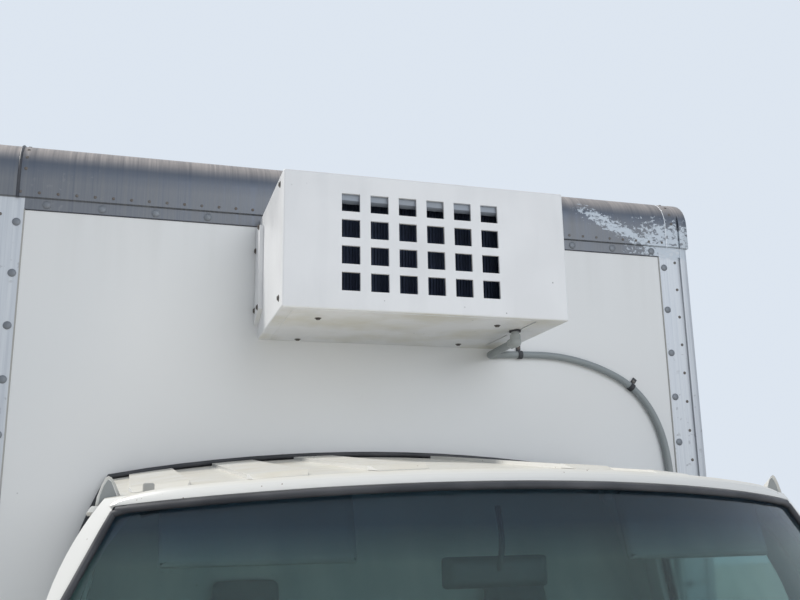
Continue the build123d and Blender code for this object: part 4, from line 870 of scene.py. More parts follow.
def rail_end():
    """The closed end of the roof rail, in line with the corner moulding."""
    inner = BOX_HALF + SKIN - 0.016
    section = rail_path(inner, 0.0012)
    section.append(Vector((inner, section[-1].y, RAIL_FOOT)))
    return plate(section, (PROUD + 0.018, 0, 0), 0.003)


hand_over(mirrored(corner_moulding()), "corner_mouldings", "mill_aluminium")
hand_over(mirrored(rail_end()), "rail_ends", "mill_aluminium")
under_strip = tube([(-1.11, BOX_FRONT - 0.001, 2.889), (1.11, BOX_FRONT - 0.001, 2.889)], 0.0024)
hand_over(under_strip, "strip_sealant", "sealant")

# %% [markdown]
# Cooling unit trim
#
# The cover is folded sheet. Its sides are closed by thin flange plates that run back to the wall, with
# the lower corner cut off at a slant, and a bottom tray shows as a step all round. A few small bolts
# hold them. Inside, a bent baffle hides the upper part of the first row of vents.

# %% Flanges, tray, baffle and bolts of the cooling unit
FLANGE_FRONT = BOX_FRONT - 0.1
FLANGE = [(BOX_FRONT - 0.004, 2.553), (FLANGE_FRONT, 2.588), (FLANGE_FRONT, 2.863),
          (BOX_FRONT - 0.004, 2.876)]
FLANGE_THICK = 0.014
flanges = [plate([(x, y, z) for y, z in FLANGE], (thick, 0, 0), 0.0006)
           for x, thick in ((cover_low.x, -FLANGE_THICK), (cover_high.x, FLANGE_THICK))]
hand_over(joined(flanges), "unit_flanges", "unit_white")
TRAY_DROP = 0.0018
tray = cuboid((cover_low.x + 0.036, cover_low.y + 0.012, cover_low.z - TRAY_DROP),
              (0.362, BOX_FRONT - 0.012, cover_low.z + 0.001), 0.0008)
hand_over(tray, "unit_tray", "unit_white")
baffle = cuboid((cover_low.x + 0.012, cover_low.y + 0.011, 2.836),
                (cover_high.x - 0.012, cover_low.y + 0.013, 2.9))
pick_side(baffle, DOWN)
bpy.ops.mesh.extrude_region_move(TRANSFORM_OT_translate={"value": (0, 0.014, -0.006)})
close_edit()
hand_over(baffle, "unit_baffle", "baffle_grey")
UNDER_BOLTS = [(-0.262, -1.4595), (-0.264, -1.1415), (0.287, -1.4765), (0.274, -1.1675)]
SIDE_BOLTS = [(-1.5145, 2.884), (-1.5195, 2.545), (-1.1805, 2.861), (-1.1835, 2.595),
              (-1.113, 2.80), (-1.113, 2.60)]
unit_places = [facing((x, y, cover_low.z - TRAY_DROP), DOWN) for x, y in UNDER_BOLTS]
for y, z in SIDE_BOLTS:
    proud = FLANGE_THICK if y > FLANGE_FRONT else 0.0
    unit_places.append(facing((cover_low.x - proud, y, z), RIGHTWARD))
    unit_places.append(facing((cover_high.x + proud, y, z), LEFTWARD))
hand_over(spread(bolt_head(0.0068, 0.0045), unit_places), "unit_bolts", "dark_steel")

# %% [markdown]
# Conduit
#
# A grey liquid-tight conduit leaves the unit through an elbow, runs back to the wall, bends round and
# drops along the corner post. It is one NURBS curve: the route's points are its control points, so it
# has no kinks. Black clips hold it to the wall, and at its end is a cast junction box.

# %% Conduit, elbow, clips and junction box
HOSE = 0.012
HOSE_Y = BOX_FRONT - 0.014
ELBOW = Vector((0.372, BOX_FRONT - 0.3165, 2.472))
HOSE_ROUTE = [tuple(ELBOW), (0.386, BOX_FRONT - 0.18, 2.477), (0.399, BOX_FRONT - 0.075, 2.481),
              (0.403, HOSE_Y, 2.482), (0.440, HOSE_Y, 2.486), (0.508, HOSE_Y, 2.490), (0.667, HOSE_Y, 2.492),
              (0.820, HOSE_Y, 2.458), (0.954, HOSE_Y, 2.393), (1.035, HOSE_Y, 2.290), (1.074, HOSE_Y, 2.160),
              (1.080, HOSE_Y, 1.960), (1.080, HOSE_Y, 1.4), (1.080, HOSE_Y, 0.78), (1.080, HOSE_Y, 0.70),
              (1.080, BOX_FRONT + 0.06, 0.70), (1.080, BOX_FRONT + 0.335, 0.70)]
CLIPS = [((0.520, 2.4895), (1, 0.0)), ((0.9474, 2.3883), (0.79, -0.615)), ((1.0755, 2.040), (0.03, -1)),
         ((1.080, 1.500), (0, -1)), ((1.080, 0.900), (0, -1))]
hose = tube(HOSE_ROUTE, HOSE, "hose", sides=4, smooth=True)
hose = hand_over(hose, "conduit_hose", "conduit_grey")


def elbow():
    """The elbow: a hexagon nut and a neck under the unit, a round body, and a nut on the conduit."""
    along = (Vector(HOSE_ROUTE[1]) - ELBOW).normalized()
    parts = [drum(0.0125, 0.036, 24, ELBOW, UP), drum(0.0165, 0.012, 24, ELBOW + Vector((0, 0, 0.010)), UP),
             drum(0.0155, 0.032, 24, ELBOW, along), drum(0.0178, 0.013, 6, ELBOW + along * 0.026, along)]
    bpy.ops.mesh.primitive_uv_sphere_add(segments=24, ring_count=14, radius=0.0185, location=ELBOW)
    parts.append(baked(bpy.context.object))
    return joined(parts)


elbow_piece = hand_over(elbow(), "conduit_elbow", "fitting_grey")
locknut = drum(0.0195, 0.0055, 8, ELBOW + Vector((0, 0, 0.0305)), UP)
hand_over(locknut, "elbow_locknut", "black_rubber")


def clip_pieces():
    """A band round the conduit, a lug and a screw at each clip."""
    bands = []
    screws = []
    for (x, z), (run_x, run_z) in CLIPS:
        along = Vector((run_x, 0, run_z)).normalized()
        centre = Vector((x, HOSE_Y, z))
        band_piece = drum(HOSE + 0.0028, 0.017, 20, centre - along * 0.0085, along)
        pick_faces(band_piece, lambda middle, normal: abs(normal.dot(along)) > STRAIGHT)
        bpy.ops.mesh.bevel(offset=0.0012, segments=1, affect="EDGES")
        close_edit()
        across = Vector((-along.z, 0, along.x))
        foot = centre + across * 0.026
        lug = cuboid((-0.0085, -0.0015, -0.014), (0.0085, 0.0015, 0.014), 0.0008, 1)
        turn = Matrix.Rotation(math.atan2(across.x, across.z), 4, "Y")
        lug.data.transform(Matrix.Translation((foot.x, BOX_FRONT - 0.003, foot.z)) @ turn)
        bands += [band_piece, lug]
        screws.append(facing((foot.x, BOX_FRONT - 0.0045, foot.z), FORWARD))
    return joined(bands), spread(bolt_head(0.0042, 0.0032), screws)


clips, clip_screws = clip_pieces()
hand_over(clips, "conduit_clips", "black_rubber")
hand_over(clip_screws, "clip_screws", "dark_steel")
junction = cuboid((1.02, BOX_FRONT + 0.33, 0.65), (1.14, BOX_FRONT + 0.45, 0.78), 0.008, 3)
stepped(junction, LEFTWARD, (0.008, 0.004))
hand_over(junction, "junction_box", "fitting_grey")
for piece in (hose, elbow_piece, locknut, clips, clip_screws, junction):
    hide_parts("conduit")

# %% [markdown]
# The cab's curves
#
# Seals and mouldings follow the cab, so its outline is needed as a formula: the windscreen is part of a
# leaning cylinder, and the cab's section has straight sides, a rounded shoulder and a crowned roof that
# falls towards the front.

# %% Formulas for the windscreen and the cab's outline
SCREEN_RADIUS = 1.405
SCREEN_SLOPE = 0.671
SCREEN_FOOT = (FRONT_AXLE - 0.147, 1.290)
ROOF_TOP = 2.135
ROOF_FALL = 0.09
ROOF_EDGE = (0.808, 2.068)
SHOULDER = (0.905, 1.780)
BELT = (1.008, 1.25)
SIDE_BOW = 0.0133


def screen_point(x, z, out=0.0):
    """A point on the windscreen's frame, out metres ahead of it."""
    back = SCREEN_RADIUS - math.sqrt(SCREEN_RADIUS ** 2 - x ** 2)
    return Vector((x, SCREEN_FOOT[0] + SCREEN_SLOPE * (z - SCREEN_FOOT[1]) + back - out, z))


def crown(x, half, edge, middle):
    """The height of a shallow arch at x."""
    return middle - (middle - edge) * (x / half) ** 2


def cab_outline(y, out=0.0, floor=0.8):
    """The cab's outline across the truck at y, from low on one side over the roof to the other."""
    drop = ROOF_FALL * (CAB_BACK - y)
    edge_z = ROOF_EDGE[1] - drop
    left = [Vector((BELT[0] + out, y, floor)), Vector((BELT[0] + out, y, BELT[1]))]
    for step in range(7):
        share = step / 6
        bow = SIDE_BOW * 4 * share * (1 - share)
        x = SHOULDER[0] + (ROOF_EDGE[0] - SHOULDER[0]) * share + bow * 0.95 + out * (1 - 0.3 * share)
        z = SHOULDER[1] + (edge_z - SHOULDER[1]) * share + bow * 0.33 + out * share * 0.8
        left.append(Vector((x, y, z)))
    top = []
    for step in range(1, 16):
        x = ROOF_EDGE[0] * (1 - step / 8)
        top.append(Vector((x, y, crown(x, ROOF_EDGE[0], edge_z, ROOF_TOP - drop) + out)))
    right = [Vector((-point.x, point.y, point.z)) for point in reversed(left)]
    return left + top + right


print("windscreen foot", tuple(round(v, 3) for v in screen_point(0, 1.29)))

# %% [markdown]
# Windscreen seals, header and roof edge
#
# The glass sits in a round black gasket. A fatter moulding lies along the header, with rounded ends.
# Behind the roof a ribbed rubber boot closes the gap to the box. The drip rail starts beside the
# header in a small folded hoop, bright on its edge, with a grey sheet inside that is painted shade.

# %% Gasket, header moulding, boot and drip hoops
HEADER = (0.789, 1.971, 2.008)
SILL = (0.975, 1.300, 1.288)
OPENING_SIDE = ((0.975, 1.33), (0.955, 1.404), (0.883, 1.780), (0.812, 1.925), (0.796, 1.957))


def opening_loop(inset, out):
    """A closed line round the windscreen, inset from its opening."""
    side = [(x - inset, z) for x, z in OPENING_SIDE]
    top = [(x, crown(x, *HEADER) - inset) for x in (0.76, 0.6, 0.4, 0.2, 0.0)]
    low = [(x, crown(x, *SILL) + inset) for x in (0.2, 0.4, 0.6, 0.8, 0.93)]
    right = side + top
    left = [(-x, z) for x, z in reversed(right[:-1])]
    bottom = [(-x, z) for x, z in reversed(low)] + [(0.0, SILL[2] + inset)] + low
    return [screen_point(x, z, out) for x, z in right + left + bottom]


gasket = tube(opening_loop(0.0065, 0.001), 0.0078, "gasket", closed=True, sides=4)
hand_over(gasket, "screen_gasket", "black_rubber")
header_line = [screen_point(x, crown(x, *HEADER) - 0.0075, 0.003) for x in steps_from(-0.783, 0.087, 19)]
moulding = tube(header_line, 0.0075, "moulding", sides=5)
hand_over(moulding, "header_moulding", "black_rubber", angle=60)
boot = [tube(cab_outline(CAB_BACK + depth, out), radius, "rib", sides=2)
        for depth, out, radius in ((0.0035, 0.010, 0.0075), (0.014, 0.001, 0.006), (0.0235, 0.008, 0.0062))]
hand_over(joined(boot), "rubber_boot", "black_rubber", angle=50)


HOOP_Y = FRONT_AXLE + 0.603
HOOP_DEPTH = 0.055
HOOP = [(0.826, 1.968), (0.823, 1.992), (0.816, 2.014), (0.8085, 2.030), (0.803, 2.034), (0.7965, 2.031),
        (0.790, 2.022), (0.776, 1.992), (0.790, 1.978)]
HOOP_INNER = [(0.820, 1.974), (0.817, 1.994), (0.811, 2.013), (0.803, 2.027), (0.7965, 2.022),
              (0.783, 1.990)]


def drip_hoop():
    """The folded end of the drip rail: an arched strip with a recessed face."""
    hoop = plate([(x, HOOP_Y, z) for x, z in HOOP], (0, HOOP_DEPTH, 0))
    stepped(hoop, FORWARD, (0.0045, -0.006))
    resized(hoop, REARWARD, (0.75, 1, 0.35), center_override=(0.80, HOOP_Y + HOOP_DEPTH, 1.975))
    return hoop


def hoop_shade_sheet():
    """The grey sheet inside the hoop: painted shade that stands for the hoop's shaded inner face."""
    return plate([(x, HOOP_Y + 0.0045, z) for x, z in HOOP_INNER], (0, 0.002, 0))


hand_over(mirrored(drip_hoop()), "drip_hoops", "cab_paint")
# The grey sheet inside each hoop is painted shade, for the hoop's shaded inner face.
hand_over(mirrored(hoop_shade_sheet()), "hoop_shade_sheets", "rusty_grey")

# %% [markdown]
# Curved sheets
#
# The soft ends of the roof's ribs, the strip over the windscreen and the headliner are thin curved
# sheets. Each is a grid of points on the cab's own formulas, and a Solidify modifier gives it its wall.
# The ribs end just behind the header and run out into the sheet. The strip's ends round down to the
# moulding.

# %% A helper for curved sheets


def skin(rows, thick=0.0, closed=False):
    """A sheet through rows of points, with a wall if thick is given."""
    width = len(rows[0])
    points = [point for row in rows for point in row]
    faces = []
    last = len(rows) if closed else len(rows) - 1
    for row in range(last):
        below = row * width
        above = (row + 1) % len(rows) * width
        faces += [(below + step, below + step + 1, above + step + 1, above + step)
                  for step in range(width - 1)]
    piece = new_mesh("skin", points, faces)
    if thick:
        wall = piece.modifiers.new("wall", "SOLIDIFY")
        wall.thickness = thick
        wall.offset = 0
        bpy.ops.object.modifier_apply(modifier=wall.name)
    pick_faces(piece, lambda centre, normal: True)
    bpy.ops.mesh.normals_make_consistent(inside=False)
    close_edit()
    return piece


def roof_height(x, y, inset=0.0):
    """The height of the roof's outer sheet, or of a face inset below it."""
    drop = ROOF_FALL * (CAB_BACK - y) + inset
    return crown(x, ROOF_EDGE[0], ROOF_EDGE[1] - drop, ROOF_TOP - drop)


print("roof at the header", round(roof_height(0, FRONT_AXLE + 0.6), 3))

# %% Rib ends and the strip over the windscreen
RIB_CENTRES = (0.220, 0.465, 0.700)
RIB_HALF = 0.060
RIB_RISE = 0.009
RIB_SETBACK = 0.120
NOSE_LENGTH = 0.055
NOSE_SHARES = (0.0, 0.15, 0.3, 0.45, 0.6, 0.75, 0.9, 1.0)
NOSE_SECTION = ((-1.02, 0), (-1.01, 1), (-0.5, 1), (0, 1), (0.5, 1), (1.01, 1), (1.02, 0))


def rib_nose(centre):
    """The soft front end of a roof rib, which runs out into the sheet."""
    rows = []
    for share in NOSE_SHARES:
        ease = 1 - share * share * (3 - 2 * share)
        row = []
        for across, height in NOSE_SECTION:
            x = centre + across * RIB_HALF * (1 - 0.15 * share)
            edge = screen_point(x, roof_height(x, FRONT_AXLE + 0.6)).y + RIB_SETBACK
            y = edge - 0.0006 - NOSE_LENGTH * share
            row.append((x, y, roof_height(x, y) + 0.0008 + RIB_RISE * ease * height))
        rows.append(row)
    return skin(rows, 0.0012)


noses = [rib_nose(side * centre) for side in (-1, 1) for centre in RIB_CENTRES]
hand_over(joined(noses), "rib_noses", "cab_paint", angle=50)
STRIP_SECTION = ((0, 0.001), (0.08, 0.0055), (0.3, 0.0075), (0.7, 0.0075), (0.92, 0.0055), (1, 0.001))
STRIP_HALF = 0.796
STRIP_TALL = 0.026


def header_strip():
    """The white strip over the windscreen, with ends that round down to the moulding."""
    rows = []
    for step in range(49):
        x = STRIP_HALF * math.sin(math.radians(90) * (step / 24 - 1))
        bottom = crown(x, *HEADER) + 0.001
        reach = max(abs(x) - 0.66, 0) / 0.1365
        tall = STRIP_TALL * math.sqrt(max(1 - reach ** 2, 0.001))
        rows.append([screen_point(x, bottom + tall * share, out) for share, out in STRIP_SECTION])
    return skin(rows, 0.0014)


hand_over(header_strip(), "header_strip", "cab_paint", angle=40)

# %% [markdown]
# Inside the cab
#
# Much of the cab shows through the glass and the open doors: a cloth headliner, sun visors, the inside
# mirror, seats with belts, dials and pedals. Hard pieces start as boxes and are shaped by inset, bevel
# and moves of single faces.

# %% Headliner and dome lamp


def roof_row(y, inset):
    """The roof's arch at y, inset below the outer sheet and drawn down near its edges."""
    half = ROOF_EDGE[0] - 0.075
    across = [half * step / 10 for step in range(-10, 11)]
    return [(x, y, roof_height(x, y, inset) - 0.02 * (abs(x) / half) ** 6) for x in across]


lining_rows = [roof_row(CAB_BACK - 0.05 - 0.075 * step, 0.040 - 0.003 * (step % 3 == 1))
               for step in range(11)]
hand_over(skin(lining_rows, 0.004), "headliner", "roof_cloth")
dome_lamp = cuboid((-0.05, CAB_BACK - 0.44, 2.058), (0.05, CAB_BACK - 0.31, 2.072), 0.004)
hand_over(dome_lamp, "dome_lamp", "clear_lens")

# %% Visors and the inside mirror


def visor(low_x, high_x, y, z, lean):
    """A flat padded board with a rounded rim and its hinge rod."""
    board = cuboid((low_x, y - 0.010, z - 0.085), (high_x, y + 0.010, z + 0.075), 0.008, 3)
    pick_faces(board, lambda centre, normal: abs(normal.y) > STRAIGHT)
    bpy.ops.mesh.inset(thickness=0.014)
    bpy.ops.transform.shrink_fatten(value=-0.0012)
    close_edit()
    hinge = Matrix.Translation((0, y, z + 0.07))
    board.data.transform(hinge @ Matrix.Rotation(lean, 4, "X") @ hinge.inverted())
    rod = drum(0.0045, high_x - low_x + 0.05, 12, (low_x - 0.025, y - 0.004, z + 0.068), LEFTWARD)
    foot = cuboid((low_x - 0.035, y - 0.014, z + 0.055), (low_x - 0.012, y + 0.012, z + 0.088), 0.004)
    return joined([board, rod, foot])


visors = [visor(-0.70, -0.30, -2.03, 1.93, -0.3), visor(0.33, 0.70, -2.03, 1.92, -0.3)]
hand_over(joined(visors), "visors", "grey_trim")
mirror_shell = cuboid((-0.125, -2.115, 1.79), (0.125, -2.085, 1.862))
resized(mirror_shell, FORWARD, (0.82, 1, 0.6))
rounded(mirror_shell, 0.009, 3)
STEM = [(0, -2.112, 1.83), (0, -2.135, 1.875), (0, -2.128, 1.925), (0, -2.115, 1.962)]
hand_over(joined([mirror_shell, tube(STEM, 0.0065, smooth=True)]), "inside_mirror", "dash_plastic")
mirror_face = cuboid((-0.114, -2.086, 1.798), (0.114, -2.0838, 1.854), 0.002)
hand_over(mirror_face, "inside_mirror_glass", "mirror_glass")

# %% [markdown]
# Bucket seats
#
# Each seat has a cushion, a backrest and a headrest of foam under cloth. A cloth simulation blows each
# one up like a pillow, with gravity off, while the lines of stitching are pinned. The panels between
# them swell and the seams stay low. A cap on how far a point may move keeps the pads inside the space
# of the plain seats that they replace. Black piping follows the rims.

# %% Swell a pad by cloth simulation


def swollen(pad, seams, cap, voxel=0.011, pressure=4.0):
    """Remeshes the pad, pins the points near its seams and lets the rest swell."""
    only(pad)
    pad.data.remesh_voxel_size = voxel
    bpy.ops.object.voxel_remesh()
    homes = [vertex.co.copy() for vertex in pad.data.vertices]
    pins = pad.vertex_groups.new(name="stitching")
    held = [index for index, home in enumerate(homes) if seams(home)]
    pins.add(held, 1.0, "REPLACE")
    cloth = pad.modifiers.new("cloth", "CLOTH")
    cloth.settings.use_pressure = True
    cloth.settings.uniform_pressure_force = pressure
    cloth.settings.effector_weights.gravity = 0
    cloth.settings.vertex_group_mass = pins.name
    for moment in range(1, 21):
        bpy.context.scene.frame_set(moment)
    bpy.ops.object.modifier_apply(modifier=cloth.name)
    bpy.context.scene.frame_set(1)
    for vertex, home in zip(pad.data.vertices, homes):
        move = vertex.co - home
        if move.length > cap:
            vertex.co = home + move.normalized() * cap
    pad.vertex_groups.clear()
    smooth = pad.modifiers.new("finish", "SUBSURF")
    smooth.levels = 1
    smooth.render_levels = 1
    bpy.ops.object.modifier_apply(modifier=smooth.name)
    print("pad", len(pad.data.polygons), "faces,", len(held), "pinned")
    return pad


def pad_form(low, high, bevel, taper=0.94):
    """A soft block, narrower at its top."""
    pad = cuboid(low, high)
    resized(pad, UP, (taper, 1, 1))
    rounded(pad, bevel, 3)
    return pad


print("pads are ready to be cut and swollen")

# %% Cushion, backrest and headrest
SEAT_X = 0.42
SEAT_FRONT = FRONT_AXLE + 0.78
SEAT_BACK = FRONT_AXLE + 1.33
BOLSTER = 0.155
PAD_HALF = 0.238
SEAM = 0.008


def beside_bolster(point, share=1.0):
    """Whether a point is on one of the two long seams that part the bolsters from the middle."""
    return abs(abs(point.x - SEAT_X) - BOLSTER * share) < SEAM


def cushion_seams(point):
    """The bolster seams and a cross seam near the knees, on the cushion's top."""
    front_seam = abs(point.y - SEAT_FRONT - 0.13) < SEAM
    return point.z > 0.93 and (beside_bolster(point) or front_seam)


def rest_seams(point):
    """The bolster seams and three cross seams, on the backrest's two faces."""
    cross_seam = any(abs(point.z - height) < 0.007 for height in (0.14, 0.3, 0.46))
    return abs(point.y) > 0.026 and (beside_bolster(point, 0.95) or cross_seam)


cushion = pad_form((SEAT_X - PAD_HALF, SEAT_FRONT + 0.014, 0.866),
                   (SEAT_X + PAD_HALF, SEAT_BACK - 0.105, 0.965), 0.03)
cushion = swollen(cushion, cushion_seams, 0.02)
rest = pad_form((SEAT_X - PAD_HALF, -0.034, 0.0), (SEAT_X + PAD_HALF, 0.034, 0.600), 0.024, 0.86)
rest = swollen(rest, rest_seams, 0.012)
REST_FOOT = (0, FRONT_AXLE + 1.283, 0.962)
REST_LEAN = -math.atan2(0.095, 0.6)
rest.data.transform(Matrix.Translation(REST_FOOT) @ Matrix.Rotation(REST_LEAN, 4, "X"))
head = pad_form((SEAT_X - 0.118, -0.022, 0.0), (SEAT_X + 0.118, 0.022, 0.165), 0.018, 0.8)
head = swollen(head, lambda point: False, 0.012, 0.009)
HEAD_FOOT = (0, FRONT_AXLE + 1.382, 1.612)
HEAD_LEAN = -0.06
head.data.transform(Matrix.Translation(HEAD_FOOT) @ Matrix.Rotation(HEAD_LEAN, 4, "X"))
seat_pieces = []
for pad, name, fill in ((cushion, "seat_cushion", 0.8), (rest, "seat_rest", 0.8), (head, "seat_head", 0.85)):
    for piece, side in ((pad, "left"), (other_side(pad), "right")):
        hand_over(piece, f"{name}_{side}", "seat_fabric", angle=60)
        seat_pieces.append(piece)

# %% Piping, seat base, headrest posts and reclining lever


def rim_line(low, high, z, radius=0.03):
    """A rounded rectangle lying flat."""
    points = []
    for cx, cy, start in ((high[0] - radius, high[1] - radius, 0), (low[0] + radius, high[1] - radius, 90),
                          (low[0] + radius, low[1] + radius, 180), (high[0] - radius, low[1] + radius, 270)):
        for turn in (0, 30, 60, 90):
            angle = math.radians(start + turn)
            points.append((cx + radius * math.cos(angle), cy + radius * math.sin(angle), z))
    return points


def seat_base():
    """A folded steel box on slide rails, with a reclining lever and two headrest posts."""
    box = cuboid((SEAT_X - 0.21, SEAT_FRONT + 0.10, 0.735), (SEAT_X + 0.21, SEAT_BACK - 0.05, 0.862))
    resized(box, DOWN, (1.06, 1.04, 1))
    pick_faces(box, lambda centre, normal: abs(normal.z) < 0.5)
    bpy.ops.mesh.inset(thickness=0.02, use_individual=True)
    bpy.ops.transform.shrink_fatten(value=-0.006)
    close_edit()
    parts = [box]
    for x in (SEAT_X - 0.19, SEAT_X + 0.165):
        parts.append(cuboid((x, SEAT_FRONT + 0.06, 0.7155), (x + 0.025, SEAT_BACK + 0.02, 0.737), 0.003))
    parts.append(tube([(SEAT_X - 0.232, SEAT_BACK - 0.02, 0.90), (SEAT_X - 0.232, SEAT_BACK - 0.10, 0.905),
                       (SEAT_X - 0.232, SEAT_BACK - 0.17, 0.925)], 0.008))
    for x in (SEAT_X - 0.06, SEAT_X + 0.06):
        parts.append(tube([(x, FRONT_AXLE + 1.372, 1.53), (x, FRONT_AXLE + 1.381, 1.63)], 0.006))
    parts.append(cuboid((SEAT_X - 0.20, SEAT_BACK - 0.07, 0.862),
                        (SEAT_X + 0.20, SEAT_BACK - 0.005, 0.95), 0.012))
    return joined(parts)


base = hand_over(mirrored(seat_base()), "seat_bases", "dash_plastic")
seat_pieces.append(base)
rim_points = rim_line((SEAT_X - 0.247, SEAT_FRONT + 0.005), (SEAT_X + 0.247, SEAT_BACK - 0.036), 0.872)
rim = tube(rim_points, 0.0042, closed=True)
piping = hand_over(mirrored(rim), "seat_piping", "black_rubber")
seat_pieces.append(piping)
for piece in seat_pieces:
    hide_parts("seats")

# %% [markdown]
# Belts and controls
#
# A lap and shoulder belt hangs from each rear pillar. The dashboard gets a hooded dial cluster, vents,
# a radio's panel, knobs and a glove box lid. Two pedals, a column shifter and a turn stalk are small
# controls that don't move here.

# %% Belts and their reels


def strap(points, width, thick, across):
    """Flat webbing along a line of points."""
    half = Vector(across).normalized() * width / 2
    return skin([[Vector(point) - half, Vector(point), Vector(point) + half] for point in points], thick)


def belt():
    """The shoulder strap down to its reel, and the lap strap."""
    upper = [(0.905, CAB_BACK - 0.052, 1.66), (0.86, CAB_BACK - 0.065, 1.60), (0.80, CAB_BACK - 0.075, 1.20),
             (0.765, CAB_BACK - 0.08, 0.90), (0.755, CAB_BACK - 0.08, 0.79)]
    lap = [(0.765, CAB_BACK - 0.085, 0.82), (0.735, CAB_BACK - 0.16, 0.90), (0.715, CAB_BACK - 0.24, 0.97)]
    return joined([strap(upper, 0.046, 0.0016, (0.3, 1, 0)), strap(lap, 0.046, 0.0016, (0.2, 0.4, 1))])


hand_over(mirrored(belt()), "belts", "belt_webbing")
reels = [cuboid((0.73, CAB_BACK - 0.12, 0.716), (0.81, CAB_BACK - 0.042, 0.80), 0.008),
         cuboid((0.70, CAB_BACK - 0.27, 0.945), (0.722, CAB_BACK - 0.235, 0.995), 0.004),
         cuboid((0.885, CAB_BACK - 0.068, 1.63), (0.925, CAB_BACK - 0.041, 1.695), 0.006)]
hand_over(mirrored(joined(reels)), "belt_reels", "dash_plastic")

# %% Dash panels, vents, dials and pedals
DASH_Y = FRONT_AXLE + 0.428
cluster = cuboid((0.235, DASH_Y - 0.09, 1.12), (0.565, DASH_Y + 0.028, 1.262), 0.016, 3)
panels = [stepped(cluster, REARWARD, (0.012, -0.022))]
for x, z, wide, tall in ((0.0, 1.13, 0.20, 0.17), (-0.5, 1.165, 0.36, 0.045), (0.70, 1.17, 0.13, 0.08),
                         (-0.78, 1.17, 0.13, 0.08), (-0.5, 1.08, 0.36, 0.075)):
    panel = cuboid((x - wide / 2, DASH_Y - 0.02, z - tall / 2),
                   (x + wide / 2, DASH_Y + 0.016, z + tall / 2), 0.005)
    panels.append(stepped(panel, REARWARD, (0.005, -0.003)))
hand_over(joined(panels), "dash_panels", "dash_plastic")
fins = []
for x, wide, z, pitch in ((0.70, 0.12, 1.17 - 0.026, 0.0175), (-0.78, 0.12, 1.17 - 0.026, 0.0175),
                          (-0.5, 0.34, 1.152, 0.009)):
    for fin_z in steps_from(z, pitch, 4):
        fins.append(cuboid((x - wide / 2, DASH_Y + 0.006, fin_z),
                           (x + wide / 2, DASH_Y + 0.019, fin_z + 0.0025)))
knobs = [drum(0.014, 0.022, 18, (x, DASH_Y + 0.010, 1.085), REARWARD) for x in (-0.055, 0.0, 0.055)]
knobs.append(drum(0.009, 0.016, 14, (0.60, DASH_Y + 0.01, 1.10), REARWARD))
hand_over(joined(fins + knobs), "vents_and_knobs", "black_rubber")
DIAL_Z = 1.195
DIALS = ((0.35, DIAL_Z, 0.046), (0.455, DIAL_Z, 0.046), (0.275, 1.215, 0.021), (0.275, 1.165, 0.021),
         (0.53, 1.215, 0.021), (0.53, 1.165, 0.021))
dials = [drum(radius, 0.004, 40, (x, DASH_Y + 0.0045, z), REARWARD) for x, z, radius in DIALS]
hand_over(joined(dials), "dials", "dial_black")
MARK_OUTER = 0.040
POINTER_TURN = -2.0
ticks = []
for x, count in ((0.35, 13), (0.455, 11)):
    for step in range(count):
        turn = Matrix.Rotation(math.radians(-30 + 240 * step / (count - 1)) - math.pi / 2, 4, "Y")
        mark = cuboid((-0.0008, 0, MARK_OUTER - 0.006), (0.0008, 0.0006, MARK_OUTER))
        mark.data.transform(Matrix.Translation((x, DASH_Y + 0.0086, DIAL_Z)) @ turn)
        ticks.append(mark)
    pointer = cuboid((-0.0012, 0, -0.006), (0.0012, 0.001, 0.034))
    turn = Matrix.Rotation(POINTER_TURN, 4, "Y")
    pointer.data.transform(Matrix.Translation((x, DASH_Y + 0.0095, DIAL_Z)) @ turn)
    ticks.append(pointer)
hand_over(joined(ticks), "dial_marks", "frame_white")
PEDAL_HANG = 1.02


def pedal(x, wide, y, z, tall):
    """A pad with a raised middle on a bent arm."""
    pad = cuboid((x - wide / 2, y - 0.006, z - tall / 2), (x + wide / 2, y + 0.006, z + tall / 2), 0.004)
    stepped(pad, REARWARD, (0.006, 0.003))
    arm = tube([(x, y, z), (x, y - 0.05, z + 0.10), (x, y - 0.04, PEDAL_HANG)], 0.008, smooth=True)
    return joined([pad, arm])


pedals = [pedal(0.43, 0.10, FRONT_AXLE + 0.36, 0.86, 0.06), pedal(0.5, 0.045, FRONT_AXLE + 0.33, 0.84, 0.10)]
hand_over(joined(pedals), "pedals", "black_rubber")
lever = tube([(0.37, FRONT_AXLE + 0.695, 1.205), (0.30, FRONT_AXLE + 0.697, 1.212),
              (0.24, FRONT_AXLE + 0.70, 1.22)], 0.006)
knob = drum(0.013, 0.035, 18, (0.25, FRONT_AXLE + 0.6995, 1.2187), (-0.99, 0.04, 0.12))
stalk = tube([(0.43, FRONT_AXLE + 0.69, 1.195), (0.50, FRONT_AXLE + 0.69, 1.2),
              (0.56, FRONT_AXLE + 0.69, 1.205)], 0.0055)
hand_over(joined([lever, knob, stalk]), "column_levers", "black_rubber")

# %% [markdown]
# Doors and mirrors
#
# The cab doors have a lift handle in a pocket, a black glass seal, a trim panel with an armrest and a
# window crank, and a mirror. The mirror's face is split into a flat and a small wide-angle glass. These
# pieces ride on the doors, so they swing with them.

# %% Glass seals and door trims
DOOR_BOW = 0.0127


def side_x(z, y=FRONT_AXLE + 0.9):
    """How far out the cab's side is at height z."""
    if z <= BELT[1]:
        return BELT[0]
    if z <= SHOULDER[1]:
        return BELT[0] + (SHOULDER[0] - BELT[0]) * (z - BELT[1]) / (SHOULDER[1] - BELT[1])
    edge_z = ROOF_EDGE[1] - ROOF_FALL * (CAB_BACK - y)
    share = (z - SHOULDER[1]) / (edge_z - SHOULDER[1])
    return SHOULDER[0] + (ROOF_EDGE[0] - SHOULDER[0]) * share + DOOR_BOW * 4 * share * (1 - share)


